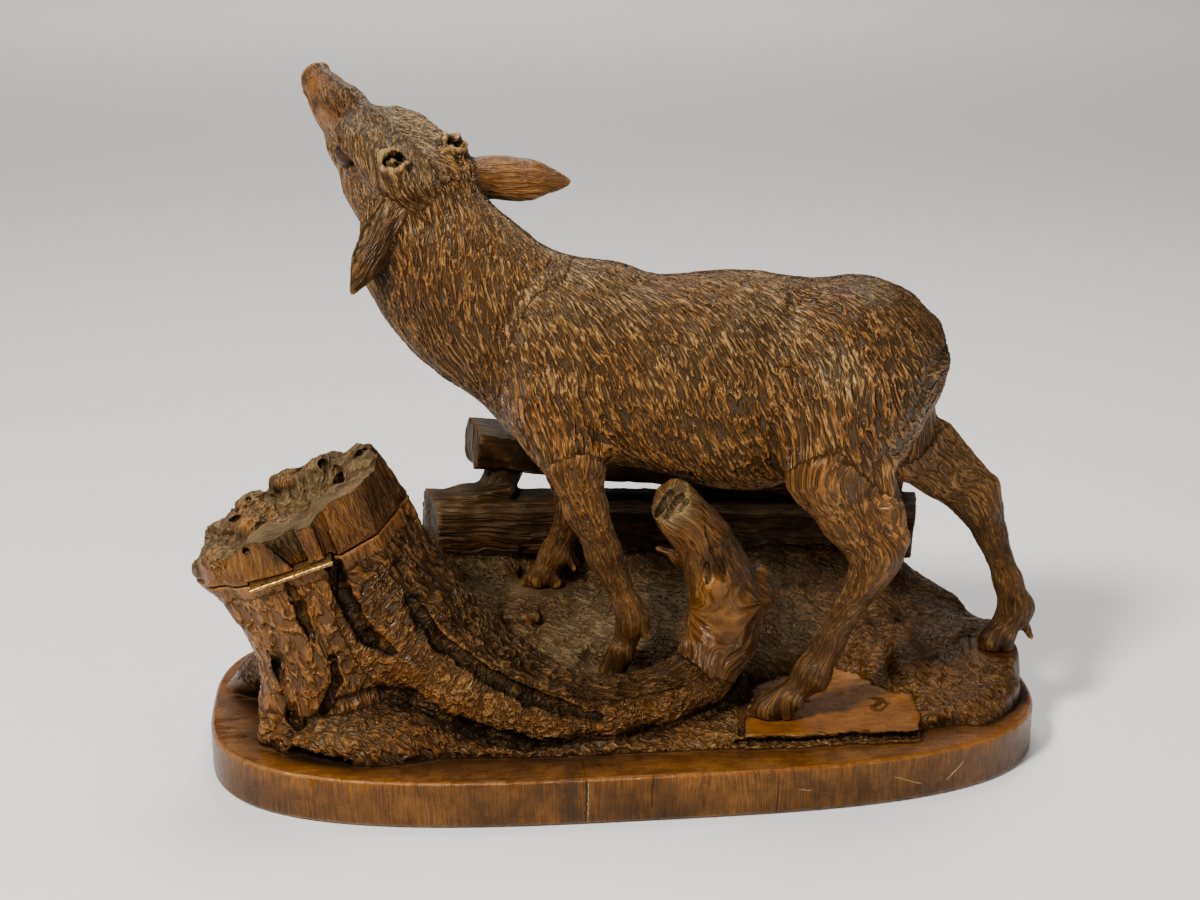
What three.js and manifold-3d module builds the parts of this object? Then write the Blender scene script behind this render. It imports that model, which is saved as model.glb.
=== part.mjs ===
// Carved wooden inkstand: a young deer that has lost its antlers stands on a rocky oval base,
// beside a hollow tree stump whose hinged lid covers the ink recess. A root runs from the stump
// along the front to a broken branch, and two split logs lie behind the deer.
// Millimetres, +Z up, +X along the base to the right, -Y the front.
// The origin is the middle of the underside.

import * as THREE from 'three';
import Module from 'manifold-3d';

const wasm = await Module();
wasm.setup();

// Driving dimensions

const baseLength = 300;
const baseDepth = 152.4;
const rimHeight = 17;
const rimSquareness = 3.1;
const rimBevel = 1.1;
const groundSlope = 0.31;
const groundFoot = -62;
const rootLevel = 10;
const fitGap = 0.35;

const deerPlace = new THREE.Vector3(33, -9, 0);
const deerTurn = -15;
const headPlace = [-106, -0.5, 212.6];
const headTurn = 39;
const headLift = 23;
const headRoll = 9;

const partingPlace = [-114, -25, 88.8];
const partingTilt = 18.4;
const partingRise = 6.5;
const partingGap = 0.9;
const crownLeft = 35.5;
const crownRight = 36.5;
const crownHalfDepth = 28;
const inkPlace = [-109, -24];
const inkRadius = 16.5;
const inkFloor = 57;

const hingeLength = 29;
const hingeAlong = -3.6;
const hingeOut = -29.7;
const knuckleRadius = 1.25;
const pinRadius = 0.62;
const leafThickness = 0.7;
const leafDepth = 7.5;
const leafGap = 0.5;

// Facets that each carved piece is brought down to

const deerFacets = 4020;
const baseFacets = 3180;
const lidFacets = 690;

const brass = { color: 0x9a7434, roughness: 0.42, metalness: 0.9 };

// Small vector helpers

const degrees = Math.PI / 180;
const clamp = (value, low, high) => Math.min(high, Math.max(low, value));
const mix = (a, b, t) => a + (b - a) * t;
const smoothstep = (low, high, value) => {
  const t = clamp((value - low) / (high - low), 0, 1);
  return t * t * (3 - 2 * t);
};

// Distance fields
// A field gives the distance from a point to a form, negative inside it.

// A tapered bar from a to b with round ends; squeeze narrows it across, along y.
function bar(a, b, radiusA, radiusB = radiusA, squeeze = 1) {
  const [ax, ay, az] = a;
  const dx = b[0] - ax;
  const dy = (b[1] - ay) * squeeze;
  const dz = b[2] - az;
  const lengthSquared = dx * dx + dy * dy + dz * dz;
  return (x, y, z) => {
    const px = x - ax;
    const py = (y - ay) * squeeze;
    const pz = z - az;
    const t = clamp((px * dx + py * dy + pz * dz) / lengthSquared, 0, 1);
    return Math.hypot(px - dx * t, py - dy * t, pz - dz * t) - mix(radiusA, radiusB, t);
  };
}

// A chain of bars through points given as [x, y, z, radius].
function limb(points, squeeze = 1, softness = 2) {
  const bars = points.slice(1).map((to, i) => {
    const from = points[i];
    return bar(from.slice(0, 3), to.slice(0, 3), from[3], to[3], squeeze);
  });
  return bars.reduce((whole, next) => join(whole, next, softness));
}

function ball(centre, radii) {
  const [cx, cy, cz] = centre;
  const [rx, ry, rz] = radii;
  return (x, y, z) => {
    const px = x - cx;
    const py = y - cy;
    const pz = z - cz;
    const k0 = Math.hypot(px / rx, py / ry, pz / rz);
    const k1 = Math.hypot(px / (rx * rx), py / (ry * ry), pz / (rz * rz));
    return k1 === 0 ? -Math.min(rx, ry, rz) : (k0 * (k0 - 1)) / k1;
  };
}

function box(centre, half, round = 1) {
  return (x, y, z) => {
    const qx = Math.abs(x - centre[0]) - half[0] + round;
    const qy = Math.abs(y - centre[1]) - half[1] + round;
    const qz = Math.abs(z - centre[2]) - half[2] + round;
    const outside = Math.hypot(Math.max(qx, 0), Math.max(qy, 0), Math.max(qz, 0));
    return outside + Math.min(Math.max(qx, qy, qz), 0) - round;
  };
}

// A form placed by a matrix: the field is read in the form's own axes.
function placed(field, matrix) {
  const m = matrix.clone().invert().elements;
  return (x, y, z) => field(
    m[0] * x + m[4] * y + m[8] * z + m[12],
    m[1] * x + m[5] * y + m[9] * z + m[13],
    m[2] * x + m[6] * y + m[10] * z + m[14],
  );
}

const softMin = (a, b, softness) => {
  const h = Math.max(softness - Math.abs(a - b), 0) / softness;
  return Math.min(a, b) - (h * h * softness) / 4;
};

const join = (a, b, softness = 2) => (x, y, z) => softMin(a(x, y, z), b(x, y, z), softness);
const carve = (a, b, softness = 1) => (x, y, z) => -softMin(-a(x, y, z), b(x, y, z), softness);
const joinAll = (fields, softness) => fields.reduce((whole, next) => join(whole, next, softness));
const mirrored = (build) => [build(-1), build(1)];

// Meshing
// The field is sampled on a grid, each grid cell is cut into six tetrahedra, and the surface
// that crosses them is one closed mesh. Edge collapses then bring it down to the wanted facets.

const cellPaths = [[1, 2], [2, 4], [4, 1], [2, 1], [4, 2], [1, 4]];
const oneInside = [[0, 1, 2, 3], [1, 0, 3, 2], [2, 0, 1, 3], [3, 0, 2, 1]];
const twoInside = [[0, 1, 2, 3], [0, 2, 3, 1], [0, 3, 1, 2], [1, 2, 0, 3], [1, 3, 2, 0], [2, 3, 0, 1]];

const blockCells = 5;
const steepest = 1.6;

// Samples the field; a block far from the surface takes the value at its middle throughout.
function sample(field, low, count, step) {
  const [nx, ny, nz] = count;
  const values = new Float64Array(nx * ny * nz);
  const half = (blockCells - 1) / 2;
  const reach = half * step * Math.sqrt(3) * steepest + step;
  for (let k0 = 0; k0 < nz; k0 += blockCells) {
    for (let j0 = 0; j0 < ny; j0 += blockCells) {
      for (let i0 = 0; i0 < nx; i0 += blockCells) {
        const middle = [i0, j0, k0].map((start, axis) => low[axis] + (start + half) * step);
        const typical = field(...middle);
        const far = Math.abs(typical) > reach;
        for (let k = k0; k < Math.min(k0 + blockCells, nz); k++) {
          for (let j = j0; j < Math.min(j0 + blockCells, ny); j++) {
            for (let i = i0; i < Math.min(i0 + blockCells, nx); i++) {
              const value = far ? typical : field(low[0] + i * step, low[1] + j * step, low[2] + k * step);
              values[i + j * nx + k * nx * ny] = Math.abs(value) < 1e-3 ? 1e-3 : value;
            }
          }
        }
      }
    }
  }
  return values;
}

function surface(field, low, high, step) {
  const count = low.map((value, axis) => Math.ceil((high[axis] - value) / step) + 1);
  const [nx, ny, nz] = count;
  const offset = (corner) => (corner & 1) + ((corner >> 1) & 1) * nx + (corner >> 2) * nx * ny;
  const values = sample(field, low, count, step);
  const positions = [];
  const triangles = [];
  const edgeVertex = new Map();
  const point = (node) => {
    const i = node % nx;
    const j = Math.floor(node / nx) % ny;
    const k = Math.floor(node / (nx * ny));
    return [low[0] + i * step, low[1] + j * step, low[2] + k * step];
  };
  const crossing = (a, b) => {
    const first = Math.min(a, b);
    const second = Math.max(a, b);
    const key = first * 8 + steps.get(second - first);
    let vertex = edgeVertex.get(key);
    if (vertex === undefined) {
      const t = clamp(values[first] / (values[first] - values[second]), 0.03, 0.97);
      const p = point(first);
      const q = point(second);
      vertex = positions.length / 3;
      positions.push(mix(p[0], q[0], t), mix(p[1], q[1], t), mix(p[2], q[2], t));
      edgeVertex.set(key, vertex);
    }
    return vertex;
  };
  const steps = new Map([1, 2, 3, 4, 5, 6, 7].map((corner) => [offset(corner), corner]));
  const tetrahedra = cellPaths.map(([first, second], path) => {
    const corners = [0, first, first | second, 7].map(offset);
    return { corners, turned: path >= 3 };
  });
  const addTriangle = (a, b, c, turned) => {
    triangles.push(a, turned ? c : b, turned ? b : c);
  };
  for (let k = 0; k < nz - 1; k++) {
    for (let j = 0; j < ny - 1; j++) {
      for (let i = 0; i < nx - 1; i++) {
        const node = i + j * nx + k * nx * ny;
        for (const { corners, turned } of tetrahedra) {
          const n = corners.map((corner) => node + corner);
          const inside = [0, 1, 2, 3].filter((c) => values[n[c]] < 0);
          if (inside.length === 1 || inside.length === 3) {
            const lone = inside.length === 1 ? inside[0] : [0, 1, 2, 3].find((c) => !inside.includes(c));
            const [a, b, c, d] = oneInside[lone].map((corner) => n[corner]);
            const flipped = inside.length === 3 ? !turned : turned;
            addTriangle(crossing(a, b), crossing(a, c), crossing(a, d), flipped);
          } else if (inside.length === 2) {
            const order = twoInside.find((o) => inside.includes(o[0]) && inside.includes(o[1]));
            const [a, b, c, d] = order.map((corner) => n[corner]);
            const quad = [crossing(a, c), crossing(a, d), crossing(b, d), crossing(b, c)];
            addTriangle(quad[0], quad[1], quad[2], turned);
            addTriangle(quad[0], quad[2], quad[3], turned);
          }
        }
      }
    }
  }
  return { positions, triangles };
}

// The sum of squared distances to the planes of the facets around a vertex, as ten numbers.
function planeError(nx, ny, nz, d, weight) {
  return [nx * nx, nx * ny, nx * nz, nx * d, ny * ny, ny * nz, ny * d, nz * nz, nz * d, d * d]
    .map((value) => value * weight);
}

function errorAt(q, x, y, z) {
  return q[0] * x * x + 2 * q[1] * x * y + 2 * q[2] * x * z + 2 * q[3] * x
    + q[4] * y * y + 2 * q[5] * y * z + 2 * q[6] * y + q[7] * z * z + 2 * q[8] * z + q[9];
}

// The point with the least error, where the facets' planes fix one.
function bestPoint(q) {
  const determinant = q[0] * (q[4] * q[7] - q[5] * q[5]) - q[1] * (q[1] * q[7] - q[5] * q[2])
    + q[2] * (q[1] * q[5] - q[4] * q[2]);
  const size = q[0] + q[4] + q[7];
  if (Math.abs(determinant) < 1e-4 * size * size * size) return null;
  const b = [-q[3], -q[6], -q[8]];
  return [
    (b[0] * (q[4] * q[7] - q[5] * q[5]) - q[1] * (b[1] * q[7] - q[5] * b[2])
      + q[2] * (b[1] * q[5] - q[4] * b[2])) / determinant,
    (q[0] * (b[1] * q[7] - b[2] * q[5]) - b[0] * (q[1] * q[7] - q[5] * q[2])
      + q[2] * (q[1] * b[2] - b[1] * q[2])) / determinant,
    (q[0] * (q[4] * b[2] - q[5] * b[1]) - q[1] * (q[1] * b[2] - b[1] * q[2])
      + b[0] * (q[1] * q[5] - q[4] * q[2])) / determinant,
  ];
}

// A queue that hands out the cheapest entry first.
class CostQueue {
  entries = [];

  push(entry) {
    const list = this.entries;
    let i = list.push(entry) - 1;
    while (i > 0) {
      const parent = (i - 1) >> 1;
      if (list[parent].cost <= entry.cost) break;
      list[i] = list[parent];
      i = parent;
    }
    list[i] = entry;
  }

  pop() {
    const list = this.entries;
    const first = list[0];
    const last = list.pop();
    if (list.length > 0) {
      let i = 0;
      for (;;) {
        let child = 2 * i + 1;
        if (child >= list.length) break;
        if (child + 1 < list.length && list[child + 1].cost < list[child].cost) child += 1;
        if (list[child].cost >= last.cost) break;
        list[i] = list[child];
        i = child;
      }
      list[i] = last;
    }
    return first;
  }
}

function facetNormal(a, b, c) {
  const ux = b[0] - a[0];
  const uy = b[1] - a[1];
  const uz = b[2] - a[2];
  const vx = c[0] - a[0];
  const vy = c[1] - a[1];
  const vz = c[2] - a[2];
  return [uy * vz - uz * vy, uz * vx - ux * vz, ux * vy - uy * vx];
}

// Collapses edges, cheapest first, and keeps the mesh closed and its facets unturned.
function simplify({ positions, triangles }, wanted) {
  const points = [];
  for (let i = 0; i < positions.length; i += 3) points.push(positions.slice(i, i + 3));
  const facets = [];
  for (let i = 0; i < triangles.length; i += 3) facets.push(triangles.slice(i, i + 3));
  const around = points.map(() => new Set());
  facets.forEach((facet, f) => facet.forEach((p) => around[p].add(f)));
  const errors = points.map(() => new Array(10).fill(0));
  facets.forEach((facet) => {
    const [a, b, c] = facet.map((p) => points[p]);
    const n = facetNormal(a, b, c);
    const area = Math.hypot(...n);
    if (area < 1e-12) return;
    const [nx, ny, nz] = n.map((value) => value / area);
    const q = planeError(nx, ny, nz, -(nx * a[0] + ny * a[1] + nz * a[2]), area);
    facet.forEach((p) => q.forEach((value, i) => { errors[p][i] += value; }));
  });
  const stamps = new Int32Array(points.length);
  const queue = new CostQueue();
  const neighbours = (p) => {
    const found = new Set();
    around[p].forEach((f) => facets[f].forEach((other) => { if (other !== p) found.add(other); }));
    return found;
  };
  const offer = (a, b) => {
    const q = errors[a].map((value, i) => value + errors[b][i]);
    const middle = points[a].map((value, i) => (value + points[b][i]) / 2);
    const edge = Math.hypot(...points[a].map((value, i) => value - points[b][i]));
    let target = bestPoint(q);
    if (!target || Math.hypot(...target.map((value, i) => value - middle[i])) > edge * 1.5) target = middle;
    const cost = errorAt(q, ...target) + 1e-5 * edge * edge;
    queue.push({ cost, a, b, target, stampA: stamps[a], stampB: stamps[b] });
  };
  const keepsShape = (moved, gone, target) => {
    for (const f of around[moved]) {
      if (facets[f].includes(gone)) continue;
      const before = facetNormal(...facets[f].map((p) => points[p]));
      const after = facetNormal(...facets[f].map((p) => (p === moved ? target : points[p])));
      const dot = before[0] * after[0] + before[1] * after[1] + before[2] * after[2];
      if (dot < 0.25 * Math.hypot(...before) * Math.hypot(...after)) return false;
    }
    return true;
  };
  points.forEach((_, a) => neighbours(a).forEach((b) => { if (a < b) offer(a, b); }));
  let left = facets.length;
  while (left > wanted && queue.entries.length > 0) {
    const { a, b, target, stampA, stampB } = queue.pop();
    if (stamps[a] !== stampA || stamps[b] !== stampB) continue;
    const aroundA = neighbours(a);
    const shared = [...neighbours(b)].filter((p) => aroundA.has(p));
    if (shared.length !== 2) continue;
    if (!keepsShape(a, b, target) || !keepsShape(b, a, target)) continue;
    points[a] = target;
    errors[b].forEach((value, i) => { errors[a][i] += value; });
    for (const f of [...around[b]]) {
      if (facets[f].includes(a)) {
        facets[f].forEach((p) => around[p].delete(f));
        facets[f] = null;
        left -= 1;
      } else {
        facets[f][facets[f].indexOf(b)] = a;
        around[a].add(f);
      }
    }
    around[b].clear();
    stamps[b] = -1;
    const ring = neighbours(a);
    stamps[a] += 1;
    ring.forEach((p) => offer(a, p));
  }
  const numbers = new Map();
  const vertProperties = [];
  const triVerts = [];
  facets.filter(Boolean).flat().forEach((p) => {
    if (!numbers.has(p)) {
      numbers.set(p, numbers.size);
      vertProperties.push(...points[p]);
    }
    triVerts.push(numbers.get(p));
  });
  return { vertProperties, triVerts };
}

// Solids

function solidOf({ vertProperties, triVerts }) {
  return new wasm.Manifold(new wasm.Mesh({
    numProp: 3,
    vertProperties: new Float32Array(vertProperties),
    triVerts: new Uint32Array(triVerts),
  }));
}

// A three.js geometry as a solid: vertices at the same place become one.
function solidFrom(geometry, matrix = new THREE.Matrix4()) {
  const placedGeometry = geometry.clone().applyMatrix4(matrix);
  const position = placedGeometry.getAttribute('position');
  const order = placedGeometry.index ? [...placedGeometry.index.array] : [...Array(position.count).keys()];
  const numbers = new Map();
  const vertProperties = [];
  const corners = order.map((i) => {
    const place = [position.getX(i), position.getY(i), position.getZ(i)];
    const key = place.map((value) => Math.round(value * 2000)).join();
    if (!numbers.has(key)) {
      numbers.set(key, numbers.size);
      vertProperties.push(...place);
    }
    return numbers.get(key);
  });
  const triVerts = [];
  for (let i = 0; i < corners.length; i += 3) {
    const [a, b, c] = corners.slice(i, i + 3);
    if (a !== b && b !== c && c !== a) triVerts.push(a, b, c);
  }
  return solidOf({ vertProperties, triVerts });
}

function geometryOf(solid) {
  const { vertProperties, triVerts } = solid.getMesh();
  const geometry = new THREE.BufferGeometry();
  geometry.setAttribute('position', new THREE.BufferAttribute(new Float32Array(vertProperties), 3));
  geometry.setIndex(new THREE.BufferAttribute(new Uint32Array(triVerts), 1));
  geometry.computeVertexNormals();
  return geometry;
}

const deerMatrix = new THREE.Matrix4()
  .makeRotationZ(deerTurn * degrees)
  .setPosition(deerPlace);

// The deer, in its own axes: +x to its tail, +y to its right, z from the underside of the base.

// Where each hoof stands: toe and heel along x, its middle across, and the ground's height.
const hooves = {
  nearFore: { toe: -39, heel: -30, side: -22, ground: 29.4 },
  farFore: { toe: -76, heel: -60, side: 22, ground: 45.8 },
  nearHind: { toe: 14.6, heel: 31, side: -30, ground: 22.3 },
  farHind: { toe: 95, heel: 108.5, side: 21, ground: 31.7 },
};

function torso() {
  const barrel = limb([
    [-44, 0, 138.5, 34.5], [8, 0, 135.3, 36.6], [44, 0, 141, 31.5], [50, 0, 146, 24.5],
  ], 1.42, 12);
  const withers = bar([-60, 0, 166], [-38, 0, 167], 8, 8);
  const brisket = ball([-60, 0, 123], [16, 12, 15]);
  const tail = limb([[71.5, 0, 157, 4.2], [74.5, 0, 145, 4.6], [71, 0, 127, 2.4]]);
  const shoulders = mirrored((side) => ball([-57, 14.5 * side, 136], [16, 12.5, 30]));
  const haunches = mirrored((side) => ball([48, 13.5 * side, 137], [22, 14, 33]));
  const body = joinAll([barrel, withers, brisket, ...shoulders, ...haunches], 9);
  return join(body, tail, 3);
}

function neck() {
  return limb([
    [-59, 0, 144, 32], [-81, 0.5, 156.5, 27.5], [-93, 1, 166, 26.5],
    [-103, 2, 178, 25], [-106, 3.5, 189, 20],
  ], 1.48, 10);
}

function nearForeleg() {
  const y = hooves.nearFore.side;
  return limb([
    [-55, -17, 128, 15], [-49, y + 2, 112, 11.5], [-44.5, y + 1, 93, 7.4], [-37.6, y, 75.5, 5.9],
    [-33.5, y, 67, 4.6], [-29.5, y, 57.5, 4.4], [-27.3, y, 52.5, 5.6], [-30.3, y, 43, 4.5],
  ], 1, 3);
}

function farForeleg() {
  const y = hooves.farFore.side;
  return limb([
    [-58, 16, 126, 15], [-57, y - 3, 110, 11], [-58.5, y - 1, 92, 7.2], [-57, y, 77, 5.9],
    [-59.5, y, 68, 4.8], [-63, y, 58.5, 5.8], [-66.5, y, 53, 4.8],
  ], 1, 3);
}

function nearHindleg() {
  const y = hooves.nearHind.side;
  const leg = limb([
    [48, -15, 132, 22], [40.5, y + 9, 110, 15], [48, y + 6.5, 95, 9.8], [57, y + 5, 82, 7.6],
    [53.5, y + 4, 72.5, 5.6], [42.5, y + 1.5, 50.5, 4.6], [37, y, 39, 5.8], [30.5, y, 31, 4.6],
  ], 1, 4);
  const hockPoint = limb([[58, y + 7, 112, 5], [64.5, y + 5, 88.5, 4], [58, y + 4.5, 76, 4]]);
  return join(leg, hockPoint, 5);
}

function farHindleg() {
  const y = hooves.farHind.side;
  const leg = limb([
    [54, 15, 132, 21], [63, y - 4, 112, 14.5], [77.5, y - 2, 100, 9.2], [92.5, y - 0.5, 87, 7.6],
    [97.5, y, 76, 5.2], [104.8, y, 58.5, 4.7], [108.5, y, 47.5, 5.9], [104, y, 39.5, 5],
  ], 1, 4);
  const hockPoint = limb([[78, y - 2, 113, 5], [95.5, y - 0.5, 94.5, 3.8], [97, y, 80, 4]]);
  return join(leg, hockPoint, 4);
}

// Two claws side by side, with the dew claws behind the fetlock.
function hoof({ toe, heel, side, ground }, top, dew, dewDrop = 4) {
  const claws = mirrored((hand) => limb([
    [top[0], side + 2.6 * hand, top[1], 4.1],
    [mix(toe, heel, 0.42), side + 3 * hand, ground + 3.6, 4],
    [toe + 1.6, side + 2.2 * hand, ground + 1.2, 1.7],
  ], 1, 2));
  const heels = mirrored((hand) => bar(
    [top[0] + 1.5, side + 2.4 * hand, top[1] - 2],
    [heel - 3, side + 2.6 * hand, ground + 2.2],
    3.6,
    2.8,
  ));
  const dewClaws = mirrored((hand) => bar(
    [dew[0] - 2, side + 2.4 * hand, dew[1] + 1],
    [dew[0] + 1.6, side + 3 * hand, dew[1] - dewDrop],
    2.1,
    1.1,
  ));
  const whole = join(joinAll(claws, 0.6), joinAll(heels, 0.6), 2);
  return joinAll([whole, ...dewClaws], 1.5);
}

// The head in its own axes: x to the nose, y to its right, z out of the forehead.
// The antlers are lost: each burr is left as a ring around an empty socket.
function headFrame() {
  const turn = headTurn * degrees;
  const lift = headLift * degrees;
  const roll = headRoll * degrees;
  const level = new THREE.Vector3(Math.sin(turn), Math.cos(turn), 0);
  const forward = new THREE.Vector3(-Math.cos(turn), Math.sin(turn), Math.tan(lift)).normalize();
  const up = new THREE.Vector3().crossVectors(level, forward).normalize();
  const right = level.multiplyScalar(Math.cos(roll)).addScaledVector(up, Math.sin(roll));
  const crest = new THREE.Vector3().crossVectors(right, forward).normalize();
  return new THREE.Matrix4().makeBasis(forward, right, crest).setPosition(...headPlace);
}

function head() {
  const skull = ball([3, 0, -14.5], [21, 15.5, 14.5]);
  const face = ball([23, 0, -9.8], [16, 13.4, 10.6]);
  const muzzle = limb([[30, 0, -11, 9.8], [47, 0, -8.4, 7.6], [62.5, 0, -6.2, 5.6]], 1, 4);
  const jaw = limb([
    [10, 0, -37, 11.5], [29, 0, -30.5, 8.6], [42, 0, -21.5, 7.2], [54, 0, -14, 5.8], [63, 0, -10, 4.6],
  ], 1, 4);
  const cheeks = mirrored((side) => ball([15, 8 * side, -23], [14, 7.5, 11]));
  const brows = mirrored((side) => bar([19, 12 * side, -2.6], [30, 11.4 * side, -4.6], 3.8, 3));
  const eyes = mirrored((side) => ball([24, 12.6 * side, -11], [4.2, 3.2, 3.2]));
  const hollows = mirrored((side) => bar([18, 16.4 * side, -11], [32, 13.6 * side, -12], 2.4, 2));
  const nose = ball([66, 0, -5.4], [3, 5.6, 5]);
  const nostrils = mirrored((side) => bar([67.6, 2.4 * side, -3.6], [71, 3 * side, -3], 1.5));
  const burrs = mirrored((side) => bar([-1, 10.4 * side, -5], [-2.5, 12.6 * side, 1.2], 6.8, 5.6));
  const sockets = mirrored((side) => bar([-2, 12 * side, -0.8], [-4, 15 * side, 8], 3.9, 4.4));
  let form = joinAll([skull, face, muzzle, jaw, ...cheeks, ...brows], 6);
  hollows.forEach((hollow) => { form = carve(form, hollow, 3); });
  form = joinAll([form, ...eyes], 1);
  form = joinAll([form, nose, ...burrs], 2);
  return [...nostrils, ...sockets].reduce((whole, hole) => carve(whole, hole, 0.8), form);
}

// An ear in its own axes: x to the tip, z out of its back; the hollow is on the far side.
function ear(length, width) {
  const shell = ball([length * 0.5, 0, 0], [length * 0.55, width / 2, 4.6]);
  const hollow = ball([length * 0.55, 0, -3.9], [length * 0.42, width / 2 - 1.8, 4.4]);
  const stalk = bar([-5, 0, -1], [length * 0.22, 0, 0], 5, 4.4);
  return carve(join(shell, stalk, 4), hollow, 1);
}

function ears(headMatrix) {
  const nearBase = new THREE.Vector3(-6, -12.5, -12);
  const farBase = new THREE.Vector3(-6, 12.5, -9.5);
  const nearAxis = new THREE.Vector3(-11.5, -24, -24.7);
  const farAxis = new THREE.Vector3(-21, 34, 0.2);
  const nearBack = new THREE.Vector3(-0.75, 0.35, 0.45);
  const farBack = new THREE.Vector3(-0.7, -0.35, 0.62);
  const build = (base, axis, back, length, width) => {
    const forward = axis.clone().transformDirection(headMatrix);
    const out = back.clone().transformDirection(headMatrix);
    const side = new THREE.Vector3().crossVectors(out, forward).normalize();
    const up = new THREE.Vector3().crossVectors(forward, side).normalize();
    const place = base.clone().applyMatrix4(headMatrix);
    return placed(ear(length, width), new THREE.Matrix4().makeBasis(forward, side, up).setPosition(place));
  };
  return [build(nearBase, nearAxis, nearBack, 35, 13.5), build(farBase, farAxis, farBack, 39, 14)];
}

function deerField() {
  const headMatrix = headFrame();
  const skull = placed(head(), headMatrix);
  const [nearEar, farEar] = ears(headMatrix);
  const legs = [nearForeleg(), farForeleg(), nearHindleg(), farHindleg()];
  let body = join(torso(), neck(), 10);
  body = join(body, skull, 6);
  legs.forEach((leg) => { body = join(body, leg, 7); });
  const feet = [
    hoof(hooves.nearFore, [-31.5, 41], [-23.5, 51.5]),
    hoof(hooves.farFore, [-67, 53], [-57, 58]),
    hoof(hooves.nearHind, [29.5, 31.5], [39.5, 38.5]),
    hoof(hooves.farHind, [104, 39.5], [112.5, 43], 5),
  ];
  feet.forEach((foot) => { body = join(body, foot, 1.5); });
  body = join(body, nearEar, 2.5);
  return join(body, farEar, 2.5);
}

function deerSolid() {
  const mesh = simplify(surface(deerField(), [-166, -46, 16], [124, 66, 256], 1.7), deerFacets);
  let solid = solidOf(mesh);
  Object.values(hooves).forEach(({ toe, heel, side, ground }) => {
    const sole = new THREE.BoxGeometry(heel - toe + 12, 22, 12);
    const place = new THREE.Matrix4().setPosition((toe + heel) / 2, side, ground + fitGap - 6);
    solid = solid.subtract(solidFrom(sole, place));
  });
  return solid;
}

// The base, stump, root, branch and logs are carved from one block, in the object's own axes.

const halfLength = baseLength / 2;
const halfDepth = baseDepth / 2;

function superellipse(x, y, halfX, halfY, squareness) {
  return (Math.abs(x / halfX) ** squareness + Math.abs(y / halfY) ** squareness) ** (1 / squareness);
}

function rim() {
  const corners = 72;
  const points = Array.from({ length: corners }, (_, i) => {
    const angle = (i / corners) * 2 * Math.PI;
    const x = Math.cos(angle);
    const y = Math.sin(angle);
    const scale = 1 / superellipse(x, y, halfLength, halfDepth, rimSquareness);
    return new THREE.Vector2(x * scale, y * scale);
  });
  const geometry = new THREE.ExtrudeGeometry(new THREE.Shape(points), {
    depth: rimHeight - 2 * rimBevel,
    bevelThickness: rimBevel,
    bevelSize: rimBevel,
    bevelOffset: -rimBevel,
    bevelSegments: 1,
  });
  return solidFrom(geometry, new THREE.Matrix4().makeTranslation(0, 0, rimBevel));
}

// Low swells of the rock, a few millimetres across the whole base.
function swell(x, y) {
  return 0.9 * Math.sin(x / 7.1 + 1.3 * Math.sin(y / 9.3)) * Math.sin(y / 6.3 + 0.8)
    + 0.5 * Math.sin(x / 3.7 + y / 5.1 + 2) * Math.sin(y / 4.3 - x / 8.7);
}

// Where each hoof stands on the base, and how high.
const footings = Object.values(hooves).map(({ toe, heel, side, ground: level }) => {
  const place = new THREE.Vector3((toe + heel) / 2, side, 0).applyMatrix4(deerMatrix);
  return { x: place.x, y: place.y, level };
});

// The hill rises from the front to a ledge under the logs and falls away at both ends.
// It is level where a hoof stands.
function groundHeight(x, y) {
  const rise = rimHeight + 1.3 + groundSlope * (y - groundFoot);
  const ledge = 5 * smoothstep(30, 39, y);
  const rightFall = 0.0105 * Math.max(0, x - 92) * Math.max(0, y + 8);
  const leftFall = smoothstep(-66, -122, x) * Math.max(0, rise - 21) * 0.92;
  const backFall = 22 * smoothstep(61, 70, y);
  const open = rise + ledge - rightFall - leftFall - backFall + swell(x, y);
  return footings.reduce((height, footing) => {
    const away = smoothstep(10, 17, Math.hypot(x - footing.x, y - footing.y));
    return mix(footing.level, height, away);
  }, open);
}

const slabHeight = (y) => hooves.nearHind.ground + 0.085 * (y + 44);

function ground() {
  const hill = (x, y, z) => {
    const edge = (superellipse(x - 8, y - 4, 139, 63.5, 2.9) - 1) * 60;
    return -softMin(-0.93 * (z - groundHeight(x, y)), -edge, 2.5);
  };
  const mound = ball([-91, -37, 19], [36, 23, 14.5]);
  const corner = (x, y) => Math.max(
    34 - x + 0.28 * (y + 60),
    x - 99 - 0.14 * (y + 52),
    y - 4 - 0.5 * (x - 100),
    -58.5 - y,
  );
  const terrace = (x, y, z) => Math.max(corner(x, y), slabHeight(y) - z);
  const slab = (x, y, z) => Math.max(corner(x, y), z - slabHeight(y), 12 - z);
  const undercut = box([68, -61, 17.6], [36, 4.5, 1.1], 0.5);
  const boulder = ball([101, -16, 22], [13, 17, 14]);
  const shelf = ball([128, -30, 14], [26, 22, 12]);
  const hoofRest = ball([134, -12, 20], [17, 14, 11.8]);
  const within = (x, y) => (superellipse(x - 2.5, y - 1, 144, 69, 3) - 1) * 66;
  const heap = joinAll([hill, mound, shelf, hoofRest], 5);
  let form = (x, y, z) => -softMin(-heap(x, y, z), -within(x, y), 2);
  form = join(carve(form, terrace, 1.5), boulder, 2);
  form = carve(join(form, slab, 0.6), undercut, 0.6);
  const leaf = box([-37, 12.4, 41.6], [7, 8, 1.8], 1);
  const pocket = bar([-118, -50, 17.4], [-100, -56, 17.4], 3.4, 1.6);
  form = join(form, leaf, 1.5);
  return carve(form, pocket, 1.5);
}

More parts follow.
